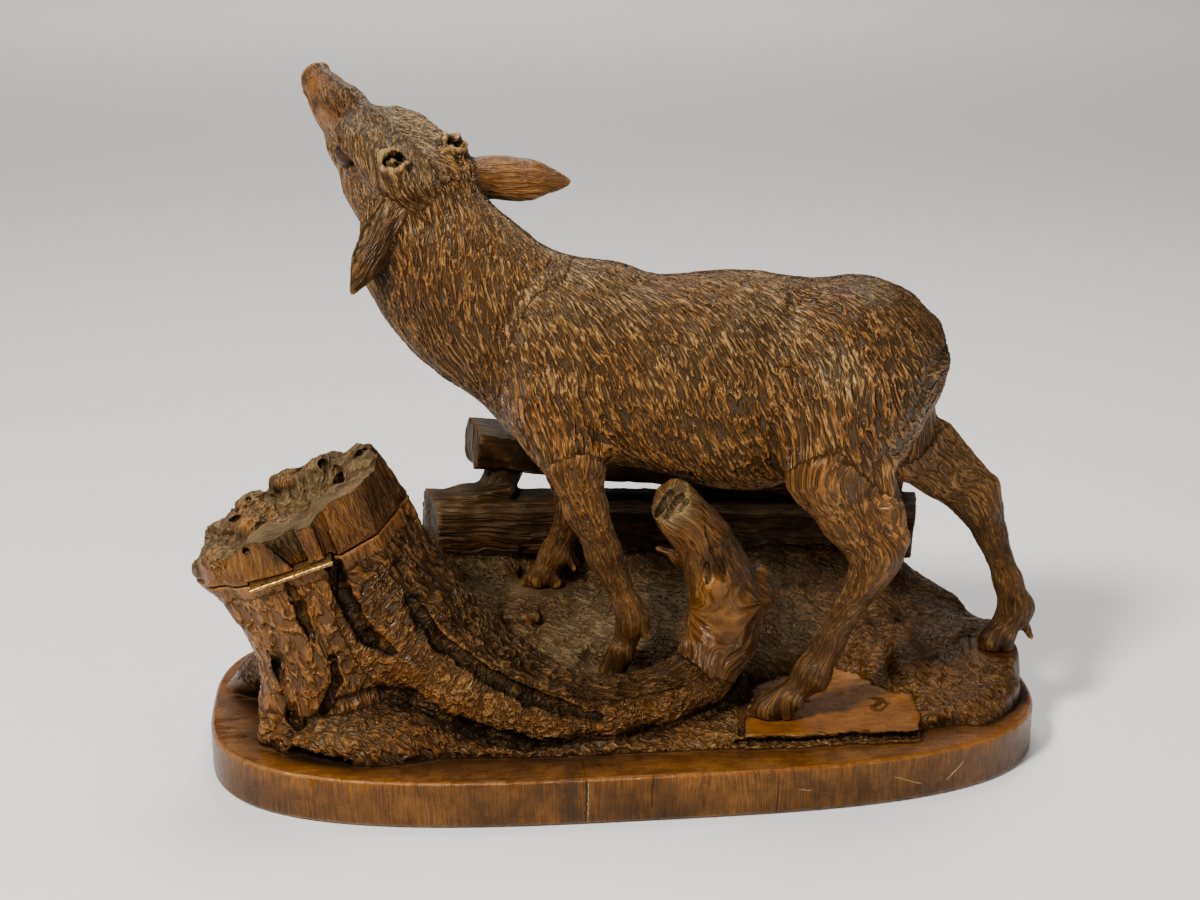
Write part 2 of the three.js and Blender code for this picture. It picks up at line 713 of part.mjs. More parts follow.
function trunk() {
  const diagonal = limb([
    [-97, -25, 70, 24], [-81, -26, 57, 24], [-61, -33, 40.5, 20], [-45, -38, 33, 17.3],
    [-30, -44, 29.3, 13.8], [-12, -46, 28.3, 10.8], [8, -42, 29.5, 9.8], [24, -35, 34, 10.2],
  ], 1, 5);
  const bole = bar([-101, -24, 26], [-112, -25, 72], 24, 26);
  const frontFoot = limb([[-119, -32, 46, 9], [-123.5, -34, 30, 6.5], [-127, -37, 20, 5]], 1, 4);
  const middleFoot = limb([[-112, -38, 44, 9], [-112, -40, 30, 6], [-116, -41, 20, 4.5]], 1, 4);
  const backFoot = limb([[-116, -10, 40, 12], [-132, 6, 24, 8], [-142, 12, 15, 5]], 1, 4);
  return joinAll([diagonal, bole, frontFoot, middleFoot, backFoot], 7);
}

function branch() {
  const stem = limb([
    [22, -36, 33, 10], [31.5, -29, 46, 11.6], [33, -27, 59, 11.3], [30, -26, 71, 10], [25.5, -26, 82, 8.9],
    [18, -26, 91, 8.2], [13, -26, 98.5, 7.8],
  ], 1, 6);
  const sideStub = limb([[37, -26, 53, 9], [44, -23, 60, 7], [46.5, -21, 66.5, 3.6]], 1, 4);
  const knot = ball([28.5, -37, 68.5], [4.5, 3, 4.5]);
  const lowerTwig = limb([[31, -20, 70, 4], [18, -16, 72, 2.6], [11, -14, 75, 1.2]], 1, 2);
  const form = joinAll([stem, sideStub, knot, lowerTwig], 3);
  const tipUp = new THREE.Vector3(-0.62, -0.38, 0.68).normalize();
  const tipAt = new THREE.Vector3(13, -28, 97.5);
  const beyondTip = (x, y, z) => -tipUp.dot(new THREE.Vector3(x, y, z).sub(tipAt));
  const topCut = (x, y, z) => 103.6 - z;
  const flutes = [-3.4, 2.6].map((across) => limb([
    [12 + across, -35.5 + 0.2 * across, 88, 1.2],
    [11.5 + across, -33.5, 95, 2.3],
    [12.5 + across, -28, 103, 2.5],
  ]));
  const broken = carve(carve(form, beyondTip, 1), topCut, 1);
  return flutes.reduce((whole, flute) => carve(whole, flute, 0.8), broken);
}

// Deep clefts that run down the stump and along the root.
function barkClefts() {
  return [
    limb([
      [-104, -54, 90, 2.4], [-100, -53, 79, 2.6], [-96, -53, 69, 2.8],
      [-90, -51.5, 59, 2.4], [-85, -51.5, 55, 1.2],
    ]),
    limb([[-117, -54.5, 80, 1.8], [-114, -53.5, 71, 1.8], [-110.5, -51.5, 60, 0.9]]),
    limb([
      [-75, -50, 68, 1.4], [-68, -51, 58.5, 2.1], [-60, -53, 51.5, 2.3], [-49, -54.5, 44, 2.3],
      [-38, -56.5, 38.5, 2.1], [-27, -58.5, 35, 1.8], [-15, -58, 31.5, 1],
    ]),
    limb([[-74, -37, 90, 1.2], [-67, -43, 73, 1.8], [-57, -44, 60.5, 1.8], [-47, -48, 51, 1]]),
    limb([[-121, -46, 40, 1.4], [-119, -45, 28, 2.2], [-120, -44, 20, 2]]),
  ];
}

// A split log: a bar with flat sides, from one end to the other.
function log(from, to, halfHeight, halfThickness, roll) {
  const a = new THREE.Vector3(...from);
  const b = new THREE.Vector3(...to);
  const along = b.clone().sub(a);
  const length = along.length();
  along.normalize();
  const back = new THREE.Vector3(0, Math.cos(roll), Math.sin(roll));
  back.addScaledVector(along, -back.dot(along)).normalize();
  const up = new THREE.Vector3().crossVectors(along, back);
  const matrix = new THREE.Matrix4().makeBasis(along, back, up).setPosition(a.add(b).multiplyScalar(0.5));
  const bevelReach = 0.7 * Math.min(halfHeight, halfThickness);
  const bevelled = (x, y, z) => {
    const wander = 0.8 * Math.sin(x / 17) + 0.5 * Math.sin(x / 7.3 + y);
    const flat = Math.max(Math.abs(y) - halfThickness, Math.abs(z + wander * 0.5) - halfHeight);
    const bevel = (Math.abs(y) / halfThickness + Math.abs(z) / halfHeight - 1.5) * bevelReach;
    return Math.max(flat, bevel, Math.abs(x) - length / 2 - 0.25 * y);
  };
  return placed(bevelled, matrix);
}

function logs() {
  const lower = log([-69, 51, 65], [121.5, 49, 57.5], 11.6, 12, 0.05);
  const upper = log([-52, 57, 95], [117.5, 53, 73.5], 8.3, 9.5, 0.12);
  const hump = ball([-52, 49, 77.5], [15, 9, 7.5]);
  const neckPiece = bar([-44, 55, 80], [-42, 56, 92], 6, 6);
  return joinAll([join(lower, hump, 3), join(upper, neckPiece, 3)], 2);
}

// The stump's crown, in the axes of the parting face: x along the hinge, y to the back, z up.

const partingMatrix = (() => {
  const along = new THREE.Vector3(Math.cos(partingTilt * degrees), 0, Math.sin(partingTilt * degrees));
  const back = new THREE.Vector3(0, Math.cos(partingRise * degrees), Math.sin(partingRise * degrees));
  back.addScaledVector(along, -back.dot(along)).normalize();
  const up = new THREE.Vector3().crossVectors(along, back);
  return new THREE.Matrix4().makeBasis(along, back, up).setPosition(...partingPlace);
})();

function crown(x, y, z) {
  const above = Math.max(0, z);
  const below = Math.min(0, z);
  const left = crownLeft - 0.5 * above + 0.42 * below;
  const right = crownRight - 0.16 * z;
  const depth = crownHalfDepth + 0.1 * below - 0.1 * above;
  const halfX = (left + right) / 2;
  const px = x - (right - left) / 2;
  const angle = Math.atan2(y / depth, px / halfX);
  const waves = 0.8 * Math.sin(7 * angle + 1.1) + 0.7 * Math.sin(11 * angle + 0.09 * z)
    + 0.5 * Math.sin(19 * angle);
  const flatFront = smoothstep(-0.55, -0.95, Math.sin(angle));
  return (superellipse(px, y, halfX, depth, 2.4) - 1) * Math.min(halfX, depth) - waves * (1 - flatFront);
}

const lidTop = (x, y) => {
  const ring = 13.6 + 0.15 * x - 0.03 * y;
  const angle = Math.atan2(y, x - 4);
  return ring + 1.2 * Math.sin(5 * angle) + 0.8 * Math.sin(11 * angle + 1);
};

function lidField() {
  const body = (x, y, z) => Math.max(crown(x, y, z), -4 - z, (z - lidTop(x, y)) * 0.9);
  const hollow = ball([5, 2, 15], [17, 12, 8.5]);
  const holes = [
    ball([-1, -1, 8], [4, 3, 4]), ball([8, 2, 6.5], [3.4, 2.6, 4]), ball([18, 7, 10], [4, 3, 4]),
  ];
  const spike = limb([[27, 10, 10, 6], [29, 10, 15, 4], [29.5, 9, 18, 2.2]], 1, 3);
  const knobs = [
    ball([-13, -8, 11.5], [6, 6, 5]), ball([-20, 4, 8.5], [7, 6, 5]),
    ball([-13, 14, 10.5], [7, 5, 5]), ball([0, 18, 12.5], [7, 4.5, 5]),
    ball([13, 17, 14], [6.5, 4.5, 4.5]), ball([-26, -12, 4.5], [7, 8, 5.5]),
  ];
  const flap = limb([[-28, -6, 3.5, 8], [-34, -4, 1.5, 4.5]], 1, 5);
  const cleft = bar([12.5, -33, -2], [9, -27, 19], 2, 2.6);
  const notch = bar([-8, -31, 2], [-11, -29, 16], 1.6, 2.4);
  let form = joinAll([body, flap, ...knobs], 3);
  form = join(carve(form, hollow, 2.5), spike, 3);
  holes.forEach((hole) => { form = carve(form, hole, 1); });
  return carve(carve(form, cleft, 2), notch, 1.5);
}

function baseField() {
  const crownBody = (x, y, z) => Math.max(crown(x, y, z), z - 4, (-30 - z) * 0.8);
  const flap = limb([[-24, -6, -8, 8], [-33.5, -4, 0, 5]], 1, 5);
  const stumpTop = placed(join(crownBody, flap, 4), partingMatrix);
  let stump = join(trunk(), stumpTop, 9);
  barkClefts().forEach((cleft) => { stump = carve(stump, cleft, 2); });
  let form = joinAll([join(stump, branch(), 6), ground()], 2.5);
  form = join(form, logs(), 1.5);
  return (x, y, z) => Math.max(form(x, y, z), rootLevel - z);
}

// Cuts

const parting = (geometry, x, y, z) => {
  const matrix = partingMatrix.clone().multiply(new THREE.Matrix4().makeTranslation(x, y, z));
  return solidFrom(geometry, matrix);
};

function alongHinge(geometry, start) {
  const matrix = partingMatrix.clone()
    .multiply(new THREE.Matrix4().makeTranslation(start, hingeOut, 0))
    .multiply(new THREE.Matrix4().makeRotationY(Math.PI / 2));
  return solidFrom(geometry, matrix);
}

function rod(radius, length, start) {
  const geometry = new THREE.CylinderGeometry(radius, radius, length, 10);
  geometry.rotateX(Math.PI / 2).translate(0, 0, length / 2);
  return alongHinge(geometry, start);
}

const hingeStart = hingeAlong - hingeLength / 2;
const leafMiddle = hingeOut + knuckleRadius + fitGap + leafDepth / 2;
const leafLevel = (leafGap + leafThickness) / 2;

function hingeRecess(side) {
  const groove = rod(knuckleRadius + fitGap, hingeLength + 2 * fitGap, hingeStart - fitGap);
  const plate = new THREE.BoxGeometry(hingeLength + 2 * fitGap, leafDepth + 4, leafThickness + fitGap * 2);
  return groove.add(parting(plate, hingeAlong, leafMiddle - 2 + fitGap, side * leafLevel));
}

function baseSolid() {
  const mesh = simplify(surface(baseField(), [-160, -72, 7], [158, 78, 112], 1.9), baseFacets);
  let solid = solidOf(mesh).add(rim());
  const lidSpace = new THREE.BoxGeometry(100, 90, 40);
  solid = solid.subtract(parting(lidSpace, 0, 0, 20 - partingGap / 2));
  const recess = new THREE.CylinderGeometry(inkRadius, inkRadius, 60, 32);
  recess.rotateX(Math.PI / 2);
  const recessPlace = new THREE.Matrix4().makeTranslation(...inkPlace, inkFloor + 30);
  solid = solid.subtract(solidFrom(recess, recessPlace));
  Object.values(hooves).forEach(({ toe, heel, side, ground: level }) => {
    const well = new THREE.BoxGeometry(heel - toe + 5, 17, 12);
    const shift = new THREE.Matrix4().makeTranslation((toe + heel) / 2, side, level + 6);
    solid = solid.subtract(solidFrom(well, deerMatrix.clone().multiply(shift)));
  });
  return solid.subtract(hingeRecess(-1));
}

function lidSolid() {
  const mesh = simplify(surface(lidField(), [-48, -40, -6], [46, 38, 28], 1.6), lidFacets);
  const inPlace = new THREE.BufferGeometry();
  inPlace.setAttribute('position', new THREE.BufferAttribute(new Float32Array(mesh.vertProperties), 3));
  inPlace.setIndex(mesh.triVerts);
  const baseSpace = new THREE.BoxGeometry(120, 110, 40);
  return solidFrom(inPlace, partingMatrix)
    .subtract(parting(baseSpace, 0, 0, -20 + partingGap / 2))
    .subtract(hingeRecess(1));
}

// Hinge: the lower leaf carries the end knuckles, the upper leaf the middle one.

function hingeLeaf(side, knuckles) {
  const plate = new THREE.BoxGeometry(hingeLength, leafDepth, leafThickness);
  let leaf = parting(plate, hingeAlong, leafMiddle, side * leafLevel);
  knuckles.forEach(([from, to]) => {
    const tab = new THREE.BoxGeometry(to - from, 3, leafThickness);
    const tabMiddle = hingeStart + (from + to) / 2;
    leaf = leaf.add(parting(tab, tabMiddle, leafMiddle - leafDepth / 2 - 0.2, side * leafLevel));
    leaf = leaf.add(rod(knuckleRadius, to - from, hingeStart + from));
  });
  return leaf.subtract(rod(pinRadius + 0.3, hingeLength + 4, hingeStart - 2));
}

const thirds = [0, hingeLength / 3, (2 * hingeLength) / 3, hingeLength];
const endKnuckles = [[thirds[0], thirds[1] - fitGap / 2], [thirds[2] + fitGap / 2, thirds[3]]];
const middleKnuckle = [[thirds[1] + fitGap / 2, thirds[2] - fitGap / 2]];

// Assembly

function piece(name, geometry, look) {
  const mesh = new THREE.Mesh(geometry, new THREE.MeshStandardMaterial(look));
  mesh.name = name;
  return mesh;
}

const carvedWood = { color: 0x6f4220, roughness: 0.45, metalness: 0 };
const stumpWood = { color: 0x664325, roughness: 0.55, metalness: 0 };

const deer = piece('deer', geometryOf(deerSolid()), carvedWood);
deer.applyMatrix4(deerMatrix);

const inkstand = new THREE.Group();
inkstand.add(
  piece('carved_base', geometryOf(baseSolid()), stumpWood),
  deer,
  piece('stump_lid', geometryOf(lidSolid()), stumpWood),
  piece('hinge_leaf_lower', geometryOf(hingeLeaf(-1, endKnuckles)), brass),
  piece('hinge_leaf_upper', geometryOf(hingeLeaf(1, middleKnuckle)), brass),
  piece('hinge_pin', geometryOf(rod(pinRadius, hingeLength, hingeStart)), brass),
);

export default inkstand;
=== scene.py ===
# Carved wooden inkstand: a deer beside a hollow stump with a hinged lid, on a rocky oval base.
# Lengths in the pieces' dictionaries are millimetres, in the object's own axes where no note names
# others: x along the base, y to the back, z up. Blender's meshes and the studio are in metres.

from concurrent.futures import ThreadPoolExecutor
import bpy
import numpy as np
import openvdb as vdb
from mathutils import Matrix, Vector


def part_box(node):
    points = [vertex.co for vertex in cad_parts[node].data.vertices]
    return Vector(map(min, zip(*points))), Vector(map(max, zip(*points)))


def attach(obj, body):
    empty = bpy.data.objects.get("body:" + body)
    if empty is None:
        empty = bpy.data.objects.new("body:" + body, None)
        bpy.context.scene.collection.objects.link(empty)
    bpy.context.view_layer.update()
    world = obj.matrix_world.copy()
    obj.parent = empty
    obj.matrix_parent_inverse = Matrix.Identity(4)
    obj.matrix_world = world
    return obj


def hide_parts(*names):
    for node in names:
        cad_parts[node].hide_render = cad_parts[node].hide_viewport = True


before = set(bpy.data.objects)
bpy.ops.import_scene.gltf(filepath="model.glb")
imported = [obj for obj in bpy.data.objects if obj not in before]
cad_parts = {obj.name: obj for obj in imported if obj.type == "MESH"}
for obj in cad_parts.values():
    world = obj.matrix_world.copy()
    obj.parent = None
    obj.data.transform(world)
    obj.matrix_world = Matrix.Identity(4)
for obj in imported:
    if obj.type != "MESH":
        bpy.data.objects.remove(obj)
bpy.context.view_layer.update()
metre = 0.001

# Forms: each gives the distance from points to a shape, negative inside it.


def ramp(low, high, value):
    t = np.clip((value - low) / (high - low), 0, 1)
    return t * t * (3 - 2 * t)


def mix(a, b, t):
    return a + (b - a) * t


def join(a, b, softness=2.0):
    h = np.maximum(softness - np.abs(a - b), 0) / softness
    return np.minimum(a, b) - h * h * softness / 4


def carve(a, b, softness=1.0):
    return -join(-a, b, softness)


def joinAll(forms, softness):
    whole = forms[0]
    for form in forms[1:]:
        whole = join(whole, form, softness)
    return whole


# Share along a bar, and the way from its middle line to the points; squeeze narrows it across.
def alongBar(p, a, b, squeeze=1.0):
    scale = np.array([1, squeeze, 1.0])
    d = (np.array(b, float) - a) * scale
    q = (p - np.array(a, float)) * scale
    t = np.clip(q @ d / (d @ d), 0, 1)
    return t, q - t[:, None] * d


def bar(p, a, b, radiusA, radiusB=None, squeeze=1.0):
    t, away = alongBar(p, a, b, squeeze)
    radius = mix(radiusA, radiusA if radiusB is None else radiusB, t)
    return np.sqrt(np.einsum("ij,ij->i", away, away)) - radius


# A chain of bars through points given as x, y, z and radius.
def limb(p, points, squeeze=1.0, softness=2.0):
    bars = [bar(p, a[:3], b[:3], a[3], b[3], squeeze) for a, b in zip(points, points[1:])]
    return joinAll(bars, softness)


def ball(p, centre, radii):
    near = (p - np.array(centre, float)) / radii
    far = near / radii
    k0 = np.sqrt(np.einsum("ij,ij->i", near, near))
    k1 = np.sqrt(np.einsum("ij,ij->i", far, far)) + 1e-9
    return k0 * (k0 - 1) / k1


def block(p, centre, half, rounding=1.0):
    q = np.abs(p - np.array(centre, float)) - np.array(half) + rounding
    outside = np.linalg.norm(np.maximum(q, 0), axis=1)
    return outside + np.minimum(q.max(axis=1), 0) - rounding


def superellipse(x, y, halfX, halfY, squareness):
    return (np.abs(x / halfX) ** squareness + np.abs(y / halfY) ** squareness) ** (1 / squareness)


def unit(v):
    return np.array(v, float) / np.linalg.norm(v)


# A set of axes: three directions as columns, and a place.
def axesAt(place, x, y, z):
    return np.column_stack([x, y, z]), np.array(place, float)


def inAxes(p, axes):
    return (p - axes[1]) @ axes[0]


def outOfAxes(p, axes):
    return p @ axes[0].T + axes[1]


# Repeatable noise


def scatter(a, b, seed):
    return np.modf(np.abs(np.sin(a * 127.1 + b * 311.7 + seed * 74.7) * 43758.5453))[0]


def noise(p, size, seed=0):
    q = p / size
    cell = np.floor(q)
    f = q - cell
    f = f * f * (3 - 2 * f)
    total = np.zeros(len(p))
    for dx in (0, 1):
        for dy in (0, 1):
            for dz in (0, 1):
                corner = scatter(cell[:, 0] + dx, (cell[:, 1] + dy) + 57 * (cell[:, 2] + dz), seed)
                share = (f[:, 0] if dx else 1 - f[:, 0]) * (f[:, 1] if dy else 1 - f[:, 1])
                total += corner * share * (f[:, 2] if dz else 1 - f[:, 2])
    return total * 2 - 1


# Runs a function over long arrays in several threads, a part at a time.
def inParts(work, *arrays, size=20000):
    parts = max(1, len(arrays[0]) // size)
    pieces = zip(*[np.array_split(a, parts) for a in arrays])
    with ThreadPoolExecutor(4) as pool:
        got = list(pool.map(lambda some: work(*some), pieces))
    if isinstance(got[0], tuple):
        return [np.concatenate(column) for column in zip(*got)]
    return np.concatenate(got)


# Meshes from forms. The box is searched in large blocks, then in small ones, and only the
# small blocks near the surface are filled point by point.

largeBlock = 16
smallBlock = 4
steepestForm = 1.5


def gridOf(counts):
    return np.stack(np.meshgrid(*[np.arange(n) for n in counts], indexing="ij"), -1).reshape(-1, 3)


def surfaceOf(form, low, high, voxel):
    low = np.array(low, float)

    def middles(index, size):
        return inParts(form, low + ((index + 0.5) * size - 0.5) * voxel)

    def closeTo(values, size):
        return np.abs(values) < voxel * (size * 0.87 * steepestForm + 1)

    counts = np.ceil((np.array(high) - low) / (largeBlock * voxel)).astype(int)
    large = gridOf(counts)
    rough = middles(large, largeBlock)
    band = 3 * voxel
    share = largeBlock // smallBlock
    filled = np.where(rough > 0, band, -band).reshape(counts)
    filled = filled.repeat(share, 0).repeat(share, 1).repeat(share, 2)
    small = (large[closeTo(rough, largeBlock)][:, None] * share + gridOf([share] * 3)).reshape(-1, 3)
    finer = middles(small, smallBlock)
    filled[tuple(small.T)] = np.where(finer > 0, band, -band)
    size = filled.shape
    values = np.empty((size[0], smallBlock, size[1], smallBlock, size[2], smallBlock), np.float32)
    values[:] = filled[:, None, :, None, :, None]
    inside = gridOf([smallBlock] * 3)

    def fill(some):
        p = low + (some[:, None] * smallBlock + inside) * voxel
        got = np.clip(form(p.reshape(-1, 3)), -band, band)
        values[some[:, 0], :, some[:, 1], :, some[:, 2], :] = got.reshape(-1, *[smallBlock] * 3)
        return some[:, 0]

    inParts(fill, small[closeTo(finer, smallBlock)], size=400)
    grid = vdb.FloatGrid(band)
    grid.copyFromArray(values.reshape(np.array(size) * smallBlock))
    points, quads = grid.convertToQuads(0.0)
    points = points.astype(float)
    faces = quads.astype(np.int64)
    corners = points[faces]
    volume = np.einsum("ij,ij->i", corners[:, 0], np.cross(corners[:, 1], corners[:, 2])).sum()
    volume += np.einsum("ij,ij->i", corners[:, 0], np.cross(corners[:, 2], corners[:, 3])).sum()
    return low + points * voxel, faces if volume > 0 else faces[:, ::-1]


def gather(faces, corner, amount, count):
    return np.bincount(faces[:, corner], amount, count)


def normalsOf(points, faces):
    diagonals = np.cross(points[faces[:, 2]] - points[faces[:, 0]], points[faces[:, 3]] - points[faces[:, 1]])
    total = np.zeros_like(points)
    for axis in range(3):
        for corner in range(4):
            total[:, axis] += gather(faces, corner, diagonals[:, axis], len(points))
    return total / (np.linalg.norm(total, axis=1)[:, None] + 1e-12)


def edgesOf(faces):
    sides = faces.shape[1]
    edges = np.concatenate([faces[:, [i, (i + 1) % sides]] for i in range(sides)])
    return edges[edges[:, 0] < edges[:, 1]]


# The values spread over the mesh, a few rounds of averaging with the neighbours.
def spread(values, edges, rounds):
    count = np.bincount(edges.ravel(), minlength=len(values))[:, None]
    got = values.reshape(len(values), -1).astype(float)
    for _ in range(rounds):
        total = np.empty_like(got)
        for k in range(got.shape[1]):
            total[:, k] = np.bincount(edges[:, 0], got[edges[:, 1], k], len(got))
            total[:, k] += np.bincount(edges[:, 1], got[edges[:, 0], k], len(got))
        got = 0.5 * got + 0.5 * total / np.maximum(count, 1)
    return got.reshape(values.shape)


# Pulls the mesh onto the form, along its own normals.
def settle(points, faces, form, rounds=2):
    for _ in range(rounds):
        off = np.clip(inParts(form, points), -0.6, 0.6)
        points = points - normalsOf(points, faces) * off[:, None]
    return points


# Gouge cuts. Their ridges are the level lines of a noise in flow coordinates, where one step in
# u is a stroke's length and one step in v its width. The same texture is read here, for the
# mesh, and in the shader, so the carved cuts and their crisp edges fall in the same places.
def strokeNoise(node):
    texture = node("ShaderNodeTexNoise")
    texture.noise_dimensions = "2D"
    for name, number in {"Scale": 1, "Detail": 2.2, "Roughness": 0.55, "Distortion": 0.3}.items():
        texture.inputs[name].default_value = number
    return texture


def cutPattern():
    group = bpy.data.node_groups.new("cuts", "GeometryNodeTree")
    for side in ("INPUT", "OUTPUT"):
        group.interface.new_socket("Geometry", in_out=side, socket_type="NodeSocketGeometry")
    node, link = group.nodes.new, group.links.new
    texture = strokeNoise(node)
    link(node("GeometryNodeInputPosition").outputs[0], texture.inputs["Vector"])
    keep = node("GeometryNodeStoreNamedAttribute")
    keep.inputs["Name"].default_value = "level"
    link(node("NodeGroupInput").outputs[0], keep.inputs["Geometry"])
    link(texture.outputs[0], keep.inputs["Value"])
    link(keep.outputs[0], node("NodeGroupOutput").inputs[0])
    return group


cuts = cutPattern()
cutReach = 0.16


# 0 on the ridges between the cuts, -1 at the bottom of each.
def gougeCuts(u, v):
    mesh = bpy.data.meshes.new("cuts")
    mesh.vertices.add(len(u))
    mesh.vertices.foreach_set("co", np.column_stack([u, v, 0 * u]).astype(np.float32).ravel())
    obj = bpy.data.objects.new("cuts", mesh)
    bpy.context.scene.collection.objects.link(obj)
    obj.modifiers.new("cuts", "NODES").node_group = cuts
    level = np.empty(len(u), np.float32)
    made = obj.evaluated_get(bpy.context.evaluated_depsgraph_get()).data
    made.attributes["level"].data.foreach_get("value", level)
    bpy.data.objects.remove(obj)
    bpy.data.meshes.remove(mesh)
    return -np.clip(np.abs(level.astype(float) - 0.5) / cutReach, 0, 1) ** 0.7


# Weights that say which part of the carving a point belongs to.
def shares(distances, softness):
    nearest = np.min(distances, axis=0)
    weights = np.exp(-(np.array(distances) - nearest) / softness)
    return weights / weights.sum(axis=0)


# Length along a chain of bars and the way out from its middle line, turning smoothly at bends.
def followLimb(p, points, squeeze=1.0, softness=4.0):
    lengths, aways, gaps = [], [], []
    start = 0.0
    for a, b in zip(points, points[1:]):
        t, away = alongBar(p, a[:3], b[:3], squeeze)
        length = np.linalg.norm(np.array(b[:3], float) - a[:3])
        lengths.append(start + t * length)
        aways.append(p - mix(np.array(a[:3], float), np.array(b[:3], float), t[:, None]))
        gaps.append(np.linalg.norm(away, axis=1) - mix(a[3], b[3], t))
        start += length
    weights = shares(gaps, softness)
    along = sum(w * v for w, v in zip(weights, lengths))
    away = sum(w[:, None] * v for w, v in zip(weights, aways))
    return along, away


# Coordinates that follow the lie of the coat: lean is the angle of the strokes to the spine,
# in degrees, at equal steps from the back round to the belly.
def combed(along, around, lean, girth):
    steps = np.linspace(0, girth, 200)
    angle = np.radians(np.interp(steps, np.linspace(0, girth, len(lean)), lean))
    slip = np.concatenate([[0], np.cumsum(1 / np.tan(angle[1:]) * np.diff(steps))])
    run = np.concatenate([[0], np.cumsum(1 / np.sin(angle[1:]) * np.diff(steps))])
    return np.interp(around, steps, run), along - np.interp(around, steps, slip)


# A groove or ridge along a line: 1 on the line, fading to 0 at its width.
def strip(p, points, width):
    nearest = np.full(len(p), 1e9)
    for a, b in zip(points, points[1:]):
        away = alongBar(p, a, b)[1]
        nearest = np.minimum(nearest, np.linalg.norm(away, axis=1))
    return np.exp(-(nearest / width) ** 2)


# A groove cut from the front: it follows the surface, whatever its depth.
def frontStrip(p, normals, points, width):
    cutting = unit([0.10, -0.95, 0.30])
    points = np.array(points, float)
    flat, flatPoints = p - np.outer(p @ cutting, cutting), points - np.outer(points @ cutting, cutting)
    near = ramp(0.1, 0.4, strip(p, points, 12)) * ramp(-0.1, 0.25, normals @ cutting)
    return strip(flat, flatPoints, width) * near


def spot(p, place, width):
    return np.exp(-(np.linalg.norm(p - np.array(place, float), axis=1) / width) ** 2)


# How shut in a point is: 0 in the open, 1 deep in a hollow, felt along the normal. The shader paints shade
# from it.
def shutIn(form, points, normals, reaches=(3.0, 8.0, 18.0)):
    total = np.zeros(len(points))
    for reach in reaches:
        total += np.clip(1 - inParts(form, points + normals * reach) / reach, 0, 1.5) / len(reaches)
    return np.clip(total, 0, 1)


def makeObject(name, points, faces):
    mesh = bpy.data.meshes.new(name)
    mesh.vertices.add(len(points))
    mesh.vertices.foreach_set("co", (points * metre).astype(np.float32).ravel())
    mesh.loops.add(faces.size)
    mesh.loops.foreach_set("vertex_index", faces.astype(np.int32).ravel())
    mesh.polygons.add(len(faces))
    mesh.polygons.foreach_set("loop_start", np.arange(0, faces.size, faces.shape[1], dtype=np.int32))
    mesh.update(calc_edges=True)
    mesh.shade_smooth()
    obj = bpy.data.objects.new(name, mesh)
    bpy.context.scene.collection.objects.link(obj)
    return obj


def pointsOf(obj):
    flat = np.empty(len(obj.data.vertices) * 3, np.float32)
    obj.data.vertices.foreach_get("co", flat)
    return flat.reshape(-1, 3).astype(float) / metre


# Brings a mesh down to a number of triangles, keeping its ridges.
def thinned(name, points, faces, triangles):
    if 2 * len(faces) <= triangles:
        return makeObject(name, points, np.concatenate([faces[:, [0, 1, 2]], faces[:, [0, 2, 3]]]))
    obj = makeObject(name, points, faces)
    modifier = obj.modifiers.new("thin", "DECIMATE")
    modifier.ratio = triangles / (2 * len(faces))
    modifier.use_collapse_triangulate = True
    depsgraph = bpy.context.evaluated_depsgraph_get()
    mesh = bpy.data.meshes.new_from_object(obj.evaluated_get(depsgraph))
    obj.modifiers.clear()
    obj.data = mesh
    mesh.shade_smooth()
    return obj


def keepValues(obj, name, values):
    kind = "FLOAT" if values.ndim == 1 else "FLOAT_VECTOR"
    attribute = obj.data.attributes.new(name, kind, "POINT")
    attribute.data.foreach_set("value" if values.ndim == 1 else "vector", values.astype(np.float32).ravel())


# The deer. Its own axes: x to the tail, y to its right, which is the far side, z up.

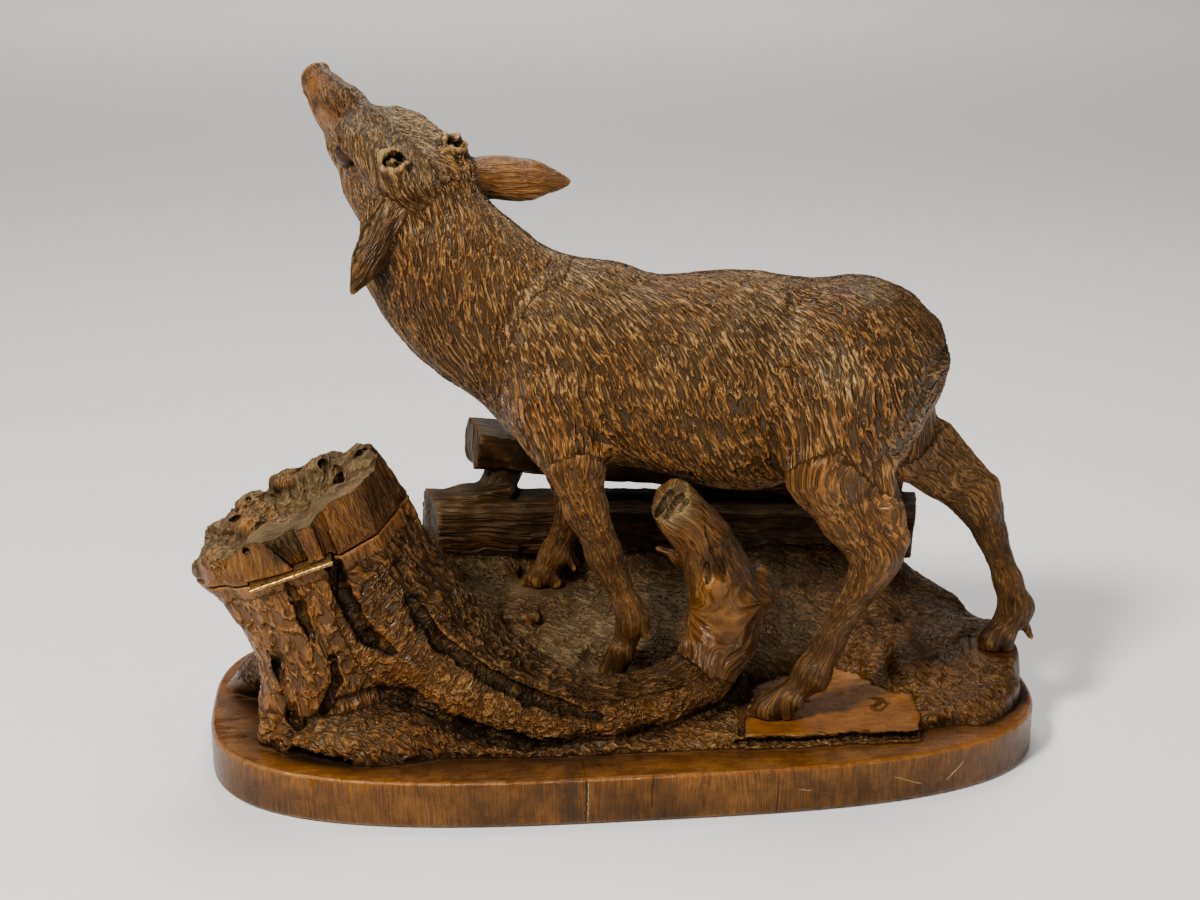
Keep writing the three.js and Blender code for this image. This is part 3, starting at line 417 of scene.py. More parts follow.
deerShape = {
    "place": (33, -9, 0),
    "turn": -15,
    "headPlace": (-106, -0.5, 212.6),
    "headTurn": 39,
    "headLift": 23,
    "headRoll": 9,
    # chains of x, y, z and radius
    "barrel": [[-44, 0, 138.5, 34.5], [8, 0, 135.3, 36.6], [44, 0, 141, 31.5], [50, 0, 146, 24.5]],
    "withers": [[-60, 0, 166, 8], [-38, 0, 167, 8]],
    "neck": [
        [-59, 0, 144, 32], [-81, 0.5, 156.5, 27.5], [-93, 1, 166, 26.5],
        [-103, 2, 178, 25], [-106, 3.5, 189, 20],
    ],
    # how much narrower than high, and the barrel's middle line: x and z
    "barrelSqueeze": 1.42,
    "neckSqueeze": 1.48,
    "spine": ([-60, -44, 8, 44, 75], [139, 138.5, 135.3, 141, 146]),
    "tail": [[71.5, 0, 157, 4.2], [74.5, 0, 145, 4.6], [71, 0, 127, 2.4]],
    "nearFore": [
        [-55, -17, 128, 15], [-49, -20, 112, 11.5], [-44.5, -21, 93, 7.4], [-37.6, -22, 75.5, 5.9],
        [-33.5, -22, 67, 4.6], [-29.5, -22, 57.5, 4.4], [-27.3, -22, 52.5, 5.6], [-30.3, -22, 43, 4.5],
    ],
    "farFore": [
        [-58, 16, 126, 15], [-57, 19, 110, 11], [-58.5, 21, 92, 7.2], [-57, 22, 77, 5.9],
        [-59.5, 22, 68, 4.8], [-63, 22, 58.5, 5.8], [-66.5, 22, 53, 4.8],
    ],
    "nearHind": [
        [48, -15, 132, 22], [40.5, -21, 110, 15], [48, -23.5, 95, 9.8], [57, -25, 82, 7.6],
        [53.5, -26, 72.5, 5.6], [42.5, -28.5, 50.5, 4.6], [37, -30, 39, 5.8], [30.5, -30, 31, 4.6],
    ],
    "farHind": [
        [54, 15, 132, 21], [63, 17, 112, 14.5], [77.5, 19, 100, 9.2], [92.5, 20.5, 87, 7.6],
        [97.5, 21, 76, 5.2], [104.8, 21, 58.5, 4.7], [108.5, 21, 47.5, 5.9], [104, 21, 39.5, 5],
    ],
    "nearHock": [[58, -23, 112, 5], [64.5, -25, 88.5, 4], [58, -25.5, 76, 4]],
    "farHock": [[78, 19, 113, 5], [95.5, 20.5, 94.5, 3.8], [97, 21, 80, 4]],
    # balls: centre and radii; the last two are on both sides
    "chest": ((-60, 0, 123), (16, 12, 15)),
    "shoulder": ((-57, 14.5, 136), (16, 12.5, 30)),
    "haunch": ((48, 13.5, 137), (22, 14, 33)),
    # toe, heel, side, height of the ground; the fetlock and the dew claws as x and z; how far these hang
    "hooves": [
        (-39, -30, -22, 29.4, (-31.5, 41), (-23.5, 51.5), 4),
        (-76, -60, 22, 45.8, (-67, 53), (-57, 58), 4),
        (14.6, 31, -30, 22.3, (29.5, 31.5), (39.5, 38.5), 4),
        (95, 108.5, 21, 31.7, (104, 39.5), (112.5, 43), 5),
    ],
    # base, way to the tip, way out of its back, length, width; in the head's axes
    "ears": {
        "near": ((-6, -12.5, -12), (-11.5, -24, -24.7), (-0.75, 0.35, 0.45), 35, 15),
        "far": ((-6, 12.5, -9.5), (-21, 34, 0.2), (-0.7, -0.35, 0.62), 39, 16),
    },
    # strokes: length, width, depth; reach is from the part's middle line to its skin
    "coat": {
        "torso": {"length": 10, "width": 1.9, "depth": 0.8, "reach": 36},
        "neck": {"length": 9, "width": 1.9, "depth": 0.8, "reach": 25},
        "head": {"length": 8, "width": 1.7, "depth": 0.75, "reach": 14},
        "ear": {"length": 14, "width": 1.5, "depth": 0.38},
        "leg": {"length": 9, "width": 1.5, "depth": 0.5, "reach": 9.5},
    },
    # the strokes' angle to the spine, in degrees, at equal steps from the back to the belly
    "lean": {
        "torso": [22, 34, 52, 66, 72, 72, 68, 60, 45],
        "neck": [24, 30, 40, 46, 48, 44, 40, 34, 30],
        "head": [26, 26, 30, 34, 34, 30, 30, 28, 28],
    },
    # lines cut or raised along the muscles, in the object's axes: width, height, points
    "lines": [
        (2.4, -1.0, [
            (-11.7, -20.9, 151), (-14.2, -22.4, 142), (-15.1, -23.7, 133), (-14.4, -23.8, 126),
            (-10.8, -22.4, 118),
        ]),
        (3.0, -0.9, [
            (-29.5, -3.1, 176), (-35.2, -8.5, 169), (-40.5, -10.3, 161), (-44.8, -9.7, 150),
            (-46.9, -7.7, 140),
        ]),
        (5.0, -1.1, [
            (56.4, -29, 168), (48, -34.8, 159), (43.6, -37.9, 149), (44.3, -39.5, 136), (47.3, -38.2, 122),
        ]),
        (2.2, -1.3, [(74.7, -53.1, 102), (77.6, -54.1, 94), (79.6, -55.6, 86), (81.9, -56, 80)]),
        (1.8, -0.9, [(122.9, -20.7, 90.7), (126.8, -21.2, 84.7), (128.8, -19.4, 78.6)]),
        (1.3, 0.7, [(70.8, -49.9, 70.6), (66.1, -47.4, 60.6), (60.5, -47.3, 50.7), (54.5, -48.5, 41.7)]),
        (1.5, -0.7, [(-15.3, -25.5, 98), (-11.1, -25.4, 85), (-7, -26.3, 72), (-3.4, -26.6, 62)]),
        (2.0, -0.8, [(107.8, -30.1, 151), (99.2, -41.6, 144), (94.8, -47.6, 137)]),
    ],
    # over the far hind hoof, in the object's axes: place and width
    "wormHole": ((140, -22, 52), 1.3),
    # the box searched for the surface, the step between the points tried, and the mesh's size
    "searched": ((-114, -61, 19), (153, 78, 242)),
    "voxel": 0.56,
    "triangles": 196000,
    "look": {"ridges": 0.72, "cuts": 0.75, "crestBump": 1.1, "shine": 0.42},
}

# The head. Its own axes: x to the nose, y to its right, z out of the brow.
headShape = {
    "skull": [((3, 0, -14.5), (21, 15.5, 14.5)), ((23, 0, -9.8), (16, 13.4, 10.6))],
    "muzzle": [[30, 0, -11, 9.8], [47, 0, -8.4, 7.6], [62.5, 0, -6.2, 5.6]],
    "jaw": [
        [10, 0, -37, 11.5], [29, 0, -30.5, 8.6], [42, 0, -21.5, 7.2], [54, 0, -14, 5.8], [63, 0, -10, 4.6],
    ],
    "nose": ((66, 0, -5.4), (3, 5.6, 5)),
    "noseEnd": 68.4,
    "noseSlant": 0.12,
    "noseSlit": [[68.6, -2.6, -3.6, 0.9], [68.6, 2.6, -3.6, 0.9]],
    # what is left of the antlers in their sockets
    "stubs": [
        [[-2.4, -11.6, -4.5, 3], [-2.6, -12.8, -0.5, 2.5], [-3.6, -13.7, 2.6, 1.2]],
        [[-1, 11.4, -4.5, 2.4], [-1.4, 12.4, -1.2, 1.3]],
    ],
    # from here on both sides, given for the far one
    "cheek": ((15, 8, -23), (14, 7.5, 11)),
    "crown": [((0, 10, -6), (15, 9, 7)), ((10, 9, -5), (13, 8, 6.5))],
    "eye": ((24.4, 13.4, -11.2), (5, 3.6, 4)),
    "brow": [[19, 12, -2.6, 3.8], [30, 11.4, -4.6, 3]],
    "eyeHollow": [[18, 16.4, -11, 2.8], [32, 13.6, -12, 2.2]],
    "upperLid": [
        [17, 13.4, -11.2, 0.9], [20.4, 15.4, -7, 1.5], [26.6, 14.9, -6.4, 1.5], [31.6, 12.6, -10.4, 0.9],
    ],
    "lowerLid": [
        [17.6, 13.4, -12.4, 0.7], [21.6, 15, -15.8, 0.9], [27.6, 14, -15.6, 0.9], [31.6, 12.4, -11.6, 0.7],
    ],
    "mouth": [[71, 1.5, -8.4, 0.8], [64, 5.4, -9.6, 0.8], [56, 6.6, -11.6, 0.7], [47, 8, -14.6, 0.4]],
    "nostril": [[66.6, 2.2, -4, 1.4], [71, 2.8, -3.4, 1.7]],
    "burr": [[-1, 10.2, -5.4, 6.8], [-2.3, 12, -1.4, 6.1]],
    "socket": [[-2, 12, -0.8, 3.5], [-4, 15, 8, 4]],
    "burrRing": (-3.3, 13.7, 3.9),
    "browLine": [(15, 14, -5), (24, 14, -3.5), (34, 12, -5.5)],
    "muzzleLine": [(38, 8.4, -4), (50, 6.6, -3.4), (62, 5, -2.6)],
}

bothSides = (-1, 1)
turn = np.radians(deerShape["turn"])
deerAxes = axesAt(
    deerShape["place"], [np.cos(turn), np.sin(turn), 0], [-np.sin(turn), np.cos(turn), 0], [0, 0, 1]
)


def headAxesOf(shape):
    turned, lifted, rolled = np.radians([shape["headTurn"], shape["headLift"], shape["headRoll"]])
    level = np.array([np.sin(turned), np.cos(turned), 0])
    forward = unit([-np.cos(turned), np.sin(turned), np.tan(lifted)])
    right = level * np.cos(rolled) + unit(np.cross(level, forward)) * np.sin(rolled)
    return axesAt(shape["headPlace"], forward, right, unit(np.cross(right, forward)))


headAxes = headAxesOf(deerShape)


def earAxesOf(name):
    base, tip, back = [np.array(v, float) for v in deerShape["ears"][name][:3]]
    forward = headAxes[0] @ unit(tip)
    side = unit(np.cross(headAxes[0] @ unit(back), forward))
    return axesAt(outOfAxes(base, headAxes), forward, side, np.cross(forward, side))


earAxes = {name: earAxesOf(name) for name in deerShape["ears"]}


# The same points on side s, which is 1 on the far side and -1 on the near one.
def sided(points, s):
    return [[x, y * s, z, *radius] for x, y, z, *radius in points]


def sidedBall(p, shape, s):
    centre, radii = shape
    return ball(p, np.multiply(centre, (1, s, 1)), radii)


def torsoForm(p):
    forms = [
        limb(p, deerShape["barrel"], deerShape["barrelSqueeze"], 12),
        limb(p, deerShape["withers"]),
        ball(p, *deerShape["chest"]),
        *[sidedBall(p, deerShape[name], s) for name in ("shoulder", "haunch") for s in bothSides],
    ]
    return join(joinAll(forms, 9), limb(p, deerShape["tail"]), 3)


def neckForm(p):
    return limb(p, deerShape["neck"], deerShape["neckSqueeze"], 10)


def headForm(p):
    h = headShape
    form = joinAll([
        *[ball(p, *skull) for skull in h["skull"]],
        limb(p, h["muzzle"], 1, 4),
        limb(p, h["jaw"], 1, 4),
        *[sidedBall(p, h["cheek"], s) for s in bothSides],
        *[limb(p, sided(h["brow"], s)) for s in bothSides],
        *[sidedBall(p, crown, s) for crown in h["crown"] for s in bothSides],
    ], 6)
    for s in bothSides:
        form = carve(form, limb(p, sided(h["eyeHollow"], s)), 2.5)
    for s in bothSides:
        form = join(form, sidedBall(p, h["eye"], s), 0.3)
        for lid in ("upperLid", "lowerLid"):
            form = join(form, limb(p, sided(h[lid], s), 1, 1), 0.7)
    form = join(form, ball(p, *h["nose"]), 2)
    for s in bothSides:
        form = join(form, limb(p, sided(h["burr"], s)), 2)
    for s in bothSides:
        form = carve(form, limb(p, sided(h["nostril"], s)), 0.4)
        form = carve(form, limb(p, sided(h["mouth"], s)), 0.6)
        form = carve(form, limb(p, sided(h["socket"], s)), 0.5)
    form = np.maximum(form, p[:, 0] - h["noseEnd"] - h["noseSlant"] * p[:, 2])
    form = carve(form, limb(p, h["noseSlit"]), 0.4)
    for stub in h["stubs"]:
        form = join(form, limb(p, stub, 1, 1), 1)
    return form


def earForm(p, name):
    length, width = deerShape["ears"][name][3:]
    taper = 1 - 0.5 * ramp(0.68 * length, 1.1 * length, p[:, 0])
    q = p / np.column_stack([np.ones_like(taper), taper, taper])
    shell = ball(q, (length * 0.5, 0, 0), (length * 0.55, width / 2, 4.6)) * taper
    hollow = ball(q, (length * 0.55, 0, -3.9), (length * 0.42, width / 2 - 1.6, 4.6)) * taper
    stalk = bar(p, (-5, 0, -1), (length * 0.22, 0, 0), 5, 4.4)
    return carve(join(shell, stalk, 4), hollow, 0.6)


def legForm(p, leg):
    if "Fore" in leg:
        return limb(p, deerShape[leg], 1, 3)
    hock = limb(p, deerShape[leg.replace("Hind", "Hock")])
    return join(limb(p, deerShape[leg], 1, 4), hock, 4.5)


def hoofForm(p, hoof):
    toe, heel, side, ground, top, dew, drop = hoof
    claws, heels, dewClaws = [], [], []
    for s in bothSides:
        claws.append(limb(p, [
            [top[0], side + 2.6 * s, top[1], 4.1],
            [mix(toe, heel, 0.42), side + 3 * s, ground + 3.6, 4],
            [toe + 1.6, side + 2.2 * s, ground + 1.2, 1.7],
        ], 1, 2))
        heels.append(bar(
            p, (top[0] + 1.5, side + 2.4 * s, top[1] - 2), (heel - 3, side + 2.6 * s, ground + 2.2), 3.6, 2.8
        ))
        dewClaws.append(bar(
            p, (dew[0] - 2, side + 2.4 * s, dew[1] + 1), (dew[0] + 1.6, side + 3 * s, dew[1] - drop), 2.1, 1.1
        ))
    return joinAll([join(joinAll(claws, 0.6), joinAll(heels, 0.6), 2), *dewClaws], 1.5)


deerLegs = ("nearFore", "farFore", "nearHind", "farHind")
fitGap = 0.35


def deerForm(world):
    p = inAxes(world, deerAxes)
    form = join(torsoForm(p), neckForm(p), 10)
    form = join(form, headForm(inAxes(p, headAxes)), 6)
    for leg in deerLegs:
        form = join(form, legForm(p, leg), 7)
    for hoof in deerShape["hooves"]:
        form = join(form, hoofForm(p, hoof), 1.5)
    for name in deerShape["ears"]:
        form = join(form, earForm(inAxes(p, earAxes[name]), name), 2.5)
    # flat soles, a gap above the ground
    for toe, heel, side, ground, *_ in deerShape["hooves"]:
        sole = block(p, ((toe + heel) / 2, side, ground + fitGap - 6), ((heel - toe) / 2 + 6, 11, 6), 0)
        form = np.maximum(form, -sole)
    return form


# The coat's way round a part: back is the height over its middle line, on the side of the spine.
def coatRound(name, along, side, back, squeeze=1.0):
    reach = deerShape["coat"][name]["reach"]
    around = np.arctan2(np.abs(side) * squeeze, back)
    return (name, *combed(along, around * reach, deerShape["lean"][name], np.pi * reach), np.sign(side))


def deerFlow(world):
    p = inAxes(world, deerAxes)
    h = inAxes(p, headAxes)
    coat = deerShape["coat"]
    spine = np.interp(p[:, 0], *deerShape["spine"])
    along, away = followLimb(p, deerShape["neck"], deerShape["neckSqueeze"])
    nape = unit([0.69, 0, 0.72])
    distances = [torsoForm(p), neckForm(p), headForm(h)]
    ways = [
        coatRound("torso", p[:, 0], p[:, 1], p[:, 2] - spine, 1.25),
        coatRound("neck", -along, away[:, 1], away @ nape, 1.3),
        coatRound("head", -h[:, 0], h[:, 1], h[:, 2] + coat["head"]["reach"]),
    ]
    for name in deerShape["ears"]:
        e = inAxes(p, earAxes[name])
        distances.append(earForm(e, name) - 0.5)
        ways.append(("ear", e[:, 0], e[:, 1], np.sign(e[:, 2])))
    for leg in deerLegs:
        along, away = followLimb(p, deerShape[leg])
        distances.append(limb(p, deerShape[leg], 1, 3) + 0.8 + 9 * ramp(96, 118, p[:, 2]))
        around = np.arctan2(away[:, 1], away[:, 0]) * coat["leg"]["reach"]
        ways.append(("leg", along, around, np.zeros(len(p)) + len(ways)))
    return shares(distances, 1.6), ways


# Flow coordinates of the part each point belongs to: u and v in strokes, and how deep the
# cuts are there.
def strokesOf(p, weights, ways, looks, seed):
    best = weights.argmax(axis=0)
    u, v, depth = np.zeros(len(p)), np.zeros(len(p)), np.zeros(len(p))
    wander = 0.8 * noise(p, 9, seed)
    for k, (name, s, t, half) in enumerate(ways):
        mine = best == k
        look = looks[name]
        u[mine] = s[mine] / look["length"] + 13 * k
        v[mine] = (t[mine] + wander[mine]) / look["width"] + 170 * half[mine] + 29 * k
        depth[mine] = look["depth"]
    return u, v, depth


# How worn smooth the deer is: the nose, the cheeks' bare planes and round the eyes.
def deerSmooth(h):
    bare = ramp(44, 58, h[:, 0]) * ramp(60, 20, np.linalg.norm(h - [60, 0, -8], axis=1))
    cheek = ramp(26, 40, h[:, 0]) * ramp(-3, -8, h[:, 2]) * ramp(-20, -14, h[:, 2])
    bare = np.maximum(bare, 0.8 * cheek * (np.abs(h[:, 1]) < 16))
    for s in bothSides:
        bare = np.maximum(bare, spot(h, np.multiply(headShape["eye"][0], (1, s, 1)), 5.5))
    return bare


def deerRelief(world, normals):
    p = inAxes(world, deerAxes)
    h = inAxes(p, headAxes)
    weights, ways = deerFlow(world)
    u, v, depth = strokesOf(world, weights, ways, deerShape["coat"], 11)
    bare = deerSmooth(h)
    depth *= (1 - 0.75 * bare) * (1 - 0.4 * ramp(90, 55, p[:, 2]))
    height = np.zeros(len(p))
    for width, rise, points in deerShape["lines"]:
        height += rise * strip(world, points, width)
    height += 0.4 * noise(world, 9, 5) + 0.16 * noise(world, 3.2, 6)
    tone = 0.25 * noise(world, 30, 7) + bare * ramp(30, 44, h[:, 0]) * (0.05 + 0.9 * noise(h, 5, 12))
    tone += 0.7 * spot(h, (36, -10, -10), 9) + 0.6 * spot(p, (-62, -14, 120), 22)
    for name in deerShape["ears"]:
        e = inAxes(p, earAxes[name])
        tone += (0.35 if name == "far" else -0.5) * ramp(4, 12, e[:, 0]) * ramp(1.5, 0.2, earForm(e, name))
    # the deer darker towards the bottom of its legs
    tone -= 0.5 * ramp(100, 65, p[:, 2])
    polish, dusty = np.zeros(len(p)), np.ones(len(p))
    for s in bothSides:
        eye = ramp(1.2, 0.6, sidedBall(h, headShape["eye"], s))
        height *= 1 - eye
        polish = np.maximum(polish, eye)
        depth *= 1 - eye
        tone -= 3 * eye
        dusty *= 1 - eye
        # knobbly brow over the eye, and along the muzzle's upper edge
        brow = strip(h, sided(headShape["browLine"], s), 2.2)
        brow = np.maximum(brow, strip(h, sided(headShape["muzzleLine"], s), 1.5))
        height += brow * (0.25 + 0.6 * noise(h, 2.4, 13))
        # the worn burr round each socket
        ring = np.linalg.norm(h - np.multiply(headShape["burrRing"], (1, s, 1)), axis=1)
        burr = np.exp(-((ring - 5) / 1.1) ** 2)
        height += burr * (0.35 + 1.3 * noise(h, 1.8, 8)) + 0.3 * ramp(10, 6, ring) * noise(h, 1.9, 8)
        tone += 0.25 * burr - 0.9 * ramp(4.2, 3, ring) * ramp(-1, -3, h[:, 2])
        depth *= 1 - 0.7 * burr
    polish = np.maximum(polish, 0.15 * bare)
    up = ramp(-0.1, 0.9, normals[:, 2])
    dust = up * ramp(-0.5, 0.6, noise(world, 16, 9)) * ramp(95, 150, p[:, 2]) * (1 - 0.8 * bare)
    for toe, heel, side, ground, *_ in deerShape["hooves"]:
        hoof = spot(p, (mix(toe, heel, 0.3), side, ground + 4), 9) * ramp(ground + 12, ground + 7, p[:, 2])
        tone -= 0.5 * hoof
        height += 0.25 * hoof * noise(np.column_stack([p[:, 0] * 0.3, p[:, 1], p[:, 2]]), 1.8, 14)
    hole = spot(world, *deerShape["wormHole"])
    height -= 0.8 * hole
    tone -= 3 * hole
    head = ramp(20, 0, np.abs(h[:, 0] - 8)) * ramp(-8, 2, h[:, 2]) * ramp(70, 50, np.linalg.norm(h, axis=1))
    dust = np.clip(0.5 * dust + 0.4 * head, 0, 1) * dusty
    # the worn edge round the nose
    height += 0.6 * np.exp(-((h[:, 0] - 66.4) / 0.7) ** 2) * (h[:, 2] < 4)
    return height, u, v, depth, np.clip(tone, -1, 1), dust, polish


# The base: oval plate, rocky ground, stump with its root and branch, and two split logs.

baseShape = {
    "halfLength": 150,
    "halfDepth": 76.2,
    "rimHeight": 17,
    "squareness": 3.1,
    "bevel": 1.1,
    "groundSlope": 0.31,
    "groundFoot": -62,
    "rootLevel": 10,
    # ovals that bound the hill and the foot of the ground: middle, half sizes, squareness
    "hillOval": (8, 4, 139, 63.5, 2.9),
    "footOval": (2.5, 1, 144, 69, 3),
    # swellings of the ground: centre and radii, the banks behind the slab also with their softness
    "mounds": [
        ((-91, -37, 19), (36, 23, 14.5)), ((128, -30, 14), (26, 22, 12)), ((134, -12, 20), (17, 14, 11.8)),
    ],
    "banks": [((101, -16, 22), (13, 17, 14), 6), ((93, -3, 24), (17, 14, 13), 8)],
    # the slab under the near hind hoof: its height at the hoof, its slope, the hoof's y, the
    # height of its underside, and the step and the gap in front of it
    "slabLevel": 22.3,
    "slabSlope": 0.085,
    "slabHoof": -44,
    "slabBottom": 12,
    "stepLevel": 18.3,
    "stepInset": 2.4,
    "slabGap": ((68, -60.3, 18.9), (36, 3.6, 0.55), 0.3),
    # a chip of rock behind the root, and the hollow under the stump's foot
    "chip": ((-37, 12.4, 41.6), (7, 8, 1.8), 1),
    "footHollow": ((-118, -50, 17.4), (-100, -56, 17.4), 3.4, 1.6),
    "root": [
        [-97, -25, 70, 24], [-81, -26, 57, 24], [-61, -33, 40.5, 20], [-45, -38, 33, 17.3],
        [-30, -44, 29.3, 13.8], [-12, -46, 28.3, 10.8], [8, -42, 29.5, 9.8], [24, -35, 34, 10.2],
    ],
    "bole": [[-101, -24, 26, 24], [-112, -25, 72, 26]],
    "feet": [
        [[-119, -32, 46, 9], [-123.5, -34, 30, 6.5], [-127, -37, 20, 5]],
        [[-112, -38, 44, 9], [-112, -40, 30, 6], [-116, -41, 20, 4.5]],
        [[-116, -10, 40, 12], [-132, 6, 24, 8], [-142, 12, 15, 5]],
    ],
    # the swelling under the lid's left edge, in the lid's axes
    "flap": [[-24, -6, -8, 8], [-33.5, -4, 0, 5]],
    "branch": [
        [22, -36, 33, 10], [31.5, -29, 46, 11.6], [33, -27, 59, 11.3], [30, -26, 71, 10],
        [25.5, -26, 82, 8.9], [18, -26, 91, 8.2], [13, -26, 98.5, 7.8],
    ],
    "branchStub": [[37, -26, 53, 9], [44, -23, 60, 7], [46.5, -21, 66.5, 3.6]],
    "branchTwig": [[31, -20, 70, 4], [18, -16, 72, 2.6], [11, -14, 75, 1.2]],
    "branchKnot": ((28.5, -37, 68.5), (4.5, 3, 4.5)),
    "branchCracks": [
        [[24.5, -34.6, 90, 0.5], [27.5, -36, 82, 1.2], [31, -36.5, 73, 0.8]],
        [[20, -35, 84, 0.4], [24.5, -36.2, 76, 1], [25.5, -37.5, 70, 0.8]],
    ],
    # the slanting cut at the branch's tip, and the height it is cut off level at
    "branchCut": ((13, -28, 97.5), (-0.62, -0.38, 0.68)),
    "branchTop": 103.6,
    # hollows sunk in the tip: how far across, radius, depth
    "branchTip": {
        "place": (14.6, -27.2, 98.9),
        "across": (0.52, -0.85, 0),
        "inward": (-0.575, -0.355, -0.738),
        "hollows": [(-2.7, 2.2, 8), (2.3, 2.1, 7), (6.3, 1.2, 4)],
    },
    "clefts": [
        [
            [-105, -53.4, 92, 1.8], [-100.7, -52.4, 80, 2.1], [-97, -51.8, 71, 2.3],
            [-91.5, -50.9, 59.7, 2.1], [-85, -50.8, 55, 1],
        ],
        [[-117, -53.2, 82, 1.3], [-114, -52.4, 72, 1.5], [-110.5, -51, 60, 0.6]],
        [
            [-82, -44, 86, 1], [-74, -48.3, 67, 1.7], [-68, -49.2, 58, 1.9], [-60.5, -51.2, 51.3, 2],
            [-49.5, -53.2, 44.2, 2], [-38.5, -55.2, 38.5, 1.9], [-27.5, -57.6, 34.8, 1.6],
            [-15, -57.2, 31.4, 0.8],
        ],
        [
            [-74, -37, 90, 1], [-67, -42, 73.5, 1.6], [-57, -43.6, 60.7, 1.7],
            [-47, -47.6, 51.2, 1.5], [-30, -51, 42, 0.8],
        ],
        [[-121, -46, 40, 1.4], [-119, -45, 28, 2.2], [-120, -44, 20, 2]],
        [[-126, -40, 62, 0.8], [-123, -43, 48, 1.4], [-121, -45.5, 38, 1.4]],
        [[-104, -49.5, 54, 0.8], [-103, -49, 45, 1.3], [-108, -48.5, 34, 1.2]],
    ],
    # from, to, half height, half thickness, roll
    "logs": [
        ((-69, 51, 65), (121.5, 49, 57.5), 11.6, 12, 0.05),
        ((-52, 57, 95), (117.5, 53, 73.5), 8.3, 9.5, 0.12),
    ],
    # the hole for the ink: x, y, height of its floor, radius
    "ink": (-109, -24, 57, 16.5),
    # grooves cut from the front: width, depth, points
    "grooves": [
        (2.3, 3.0, [
            (-104.5, -54, 92), (-100.7, -52, 80), (-97, -51.4, 71), (-91.5, -50.7, 59.7), (-85, -50.8, 55.8),
        ]),
        (1.0, 1.8, [(-118, -53, 86), (-117, -52.8, 82.4), (-114, -52, 72), (-111, -51, 60.6)]),
        (2.4, 2.4, [
            (-80.7, -44, 85.4), (-74, -48.3, 67), (-68, -49, 58), (-60.5, -51, 51.5), (-49.5, -53, 44.4),
            (-38.5, -55, 38.6), (-27.5, -57.4, 35), (-15, -57, 31.6),
        ]),
        (1.5, 2.2, [
            (-121.7, -46.1, 23.3), (-112.9, -48.1, 29.8), (-101.8, -48.4, 36.4), (-95, -46.9, 38.7),
            (-88.9, -45.3, 38.8), (-83.1, -44.7, 37.2), (-72.4, -49.3, 33.2), (-61.3, -50, 26.2),
            (-50.6, -52.8, 22), (-41.8, -54.7, 21), (-29.2, -56.5, 20.9),
        ]),
        (1.3, 1.5, [(-126, -40, 62), (-123, -43, 48), (-121, -45.5, 38), (-118, -46, 27)]),
        (1.1, 1.3, [(-104, -49.5, 54), (-103, -49, 45), (-108, -48.5, 34)]),
        (1.4, 1.3, [(-70, -38, 84), (-62, -42, 68), (-52, -45, 57), (-38, -49, 47), (-22, -52, 40)]),
    ],
    # cuts of each part: length, width, depth
    "strokes": {
        "bark": {"length": 6, "width": 2.8, "depth": 0.85},
        "bole": {"length": 8, "width": 3.6, "depth": 0.8},
        "crown": {"length": 11, "width": 2.4, "depth": 0.38},
        "branch": {"length": 15, "width": 2, "depth": 0.4},
        "logs": {"length": 40, "width": 2.6, "depth": 0.4},
        "ground": {"length": 4.6, "width": 3, "depth": 0.75},
        "slab": {"length": 14, "width": 3, "depth": 0.12},
        "plate": {"length": 20, "width": 2.4, "depth": 0.06},
    },
    "searched": ((-153, -79, -3), (153, 79, 107)),
    "voxel": 0.72,
    "triangles": 197000,
    "look": {
        "ridges": 0.3,
        "cuts": 0.5,
        "crestBump": 1.1,
        "shine": 0.34,
        # marks on the rim: start, end, width, colour, strength
        "marks": [
            ((-26.5, 0), (-26, 18), 3.4, "stainAndShade", 0.6),
            ((-21.3, 0.5), (-21, 17.5), 0.4, "grimeAndShade", 0.95),
            ((-20.7, 1), (-20.4, 16), 0.35, "ridge", 0.45),
            ((1, 5), (1.4, 17), 0.25, "grimeAndShade", 0.8),
            ((44, 1), (44.4, 15), 0.25, "grimeAndShade", 0.8),
            ((85, 10), (96, 5.5), 0.22, "ridge", 0.8),
            ((105, 5), (112, 11), 0.25, "ridge", 0.9),
            ((51, 9), (56, 8), 0.2, "ridge", 0.7),
        ],
    },
}

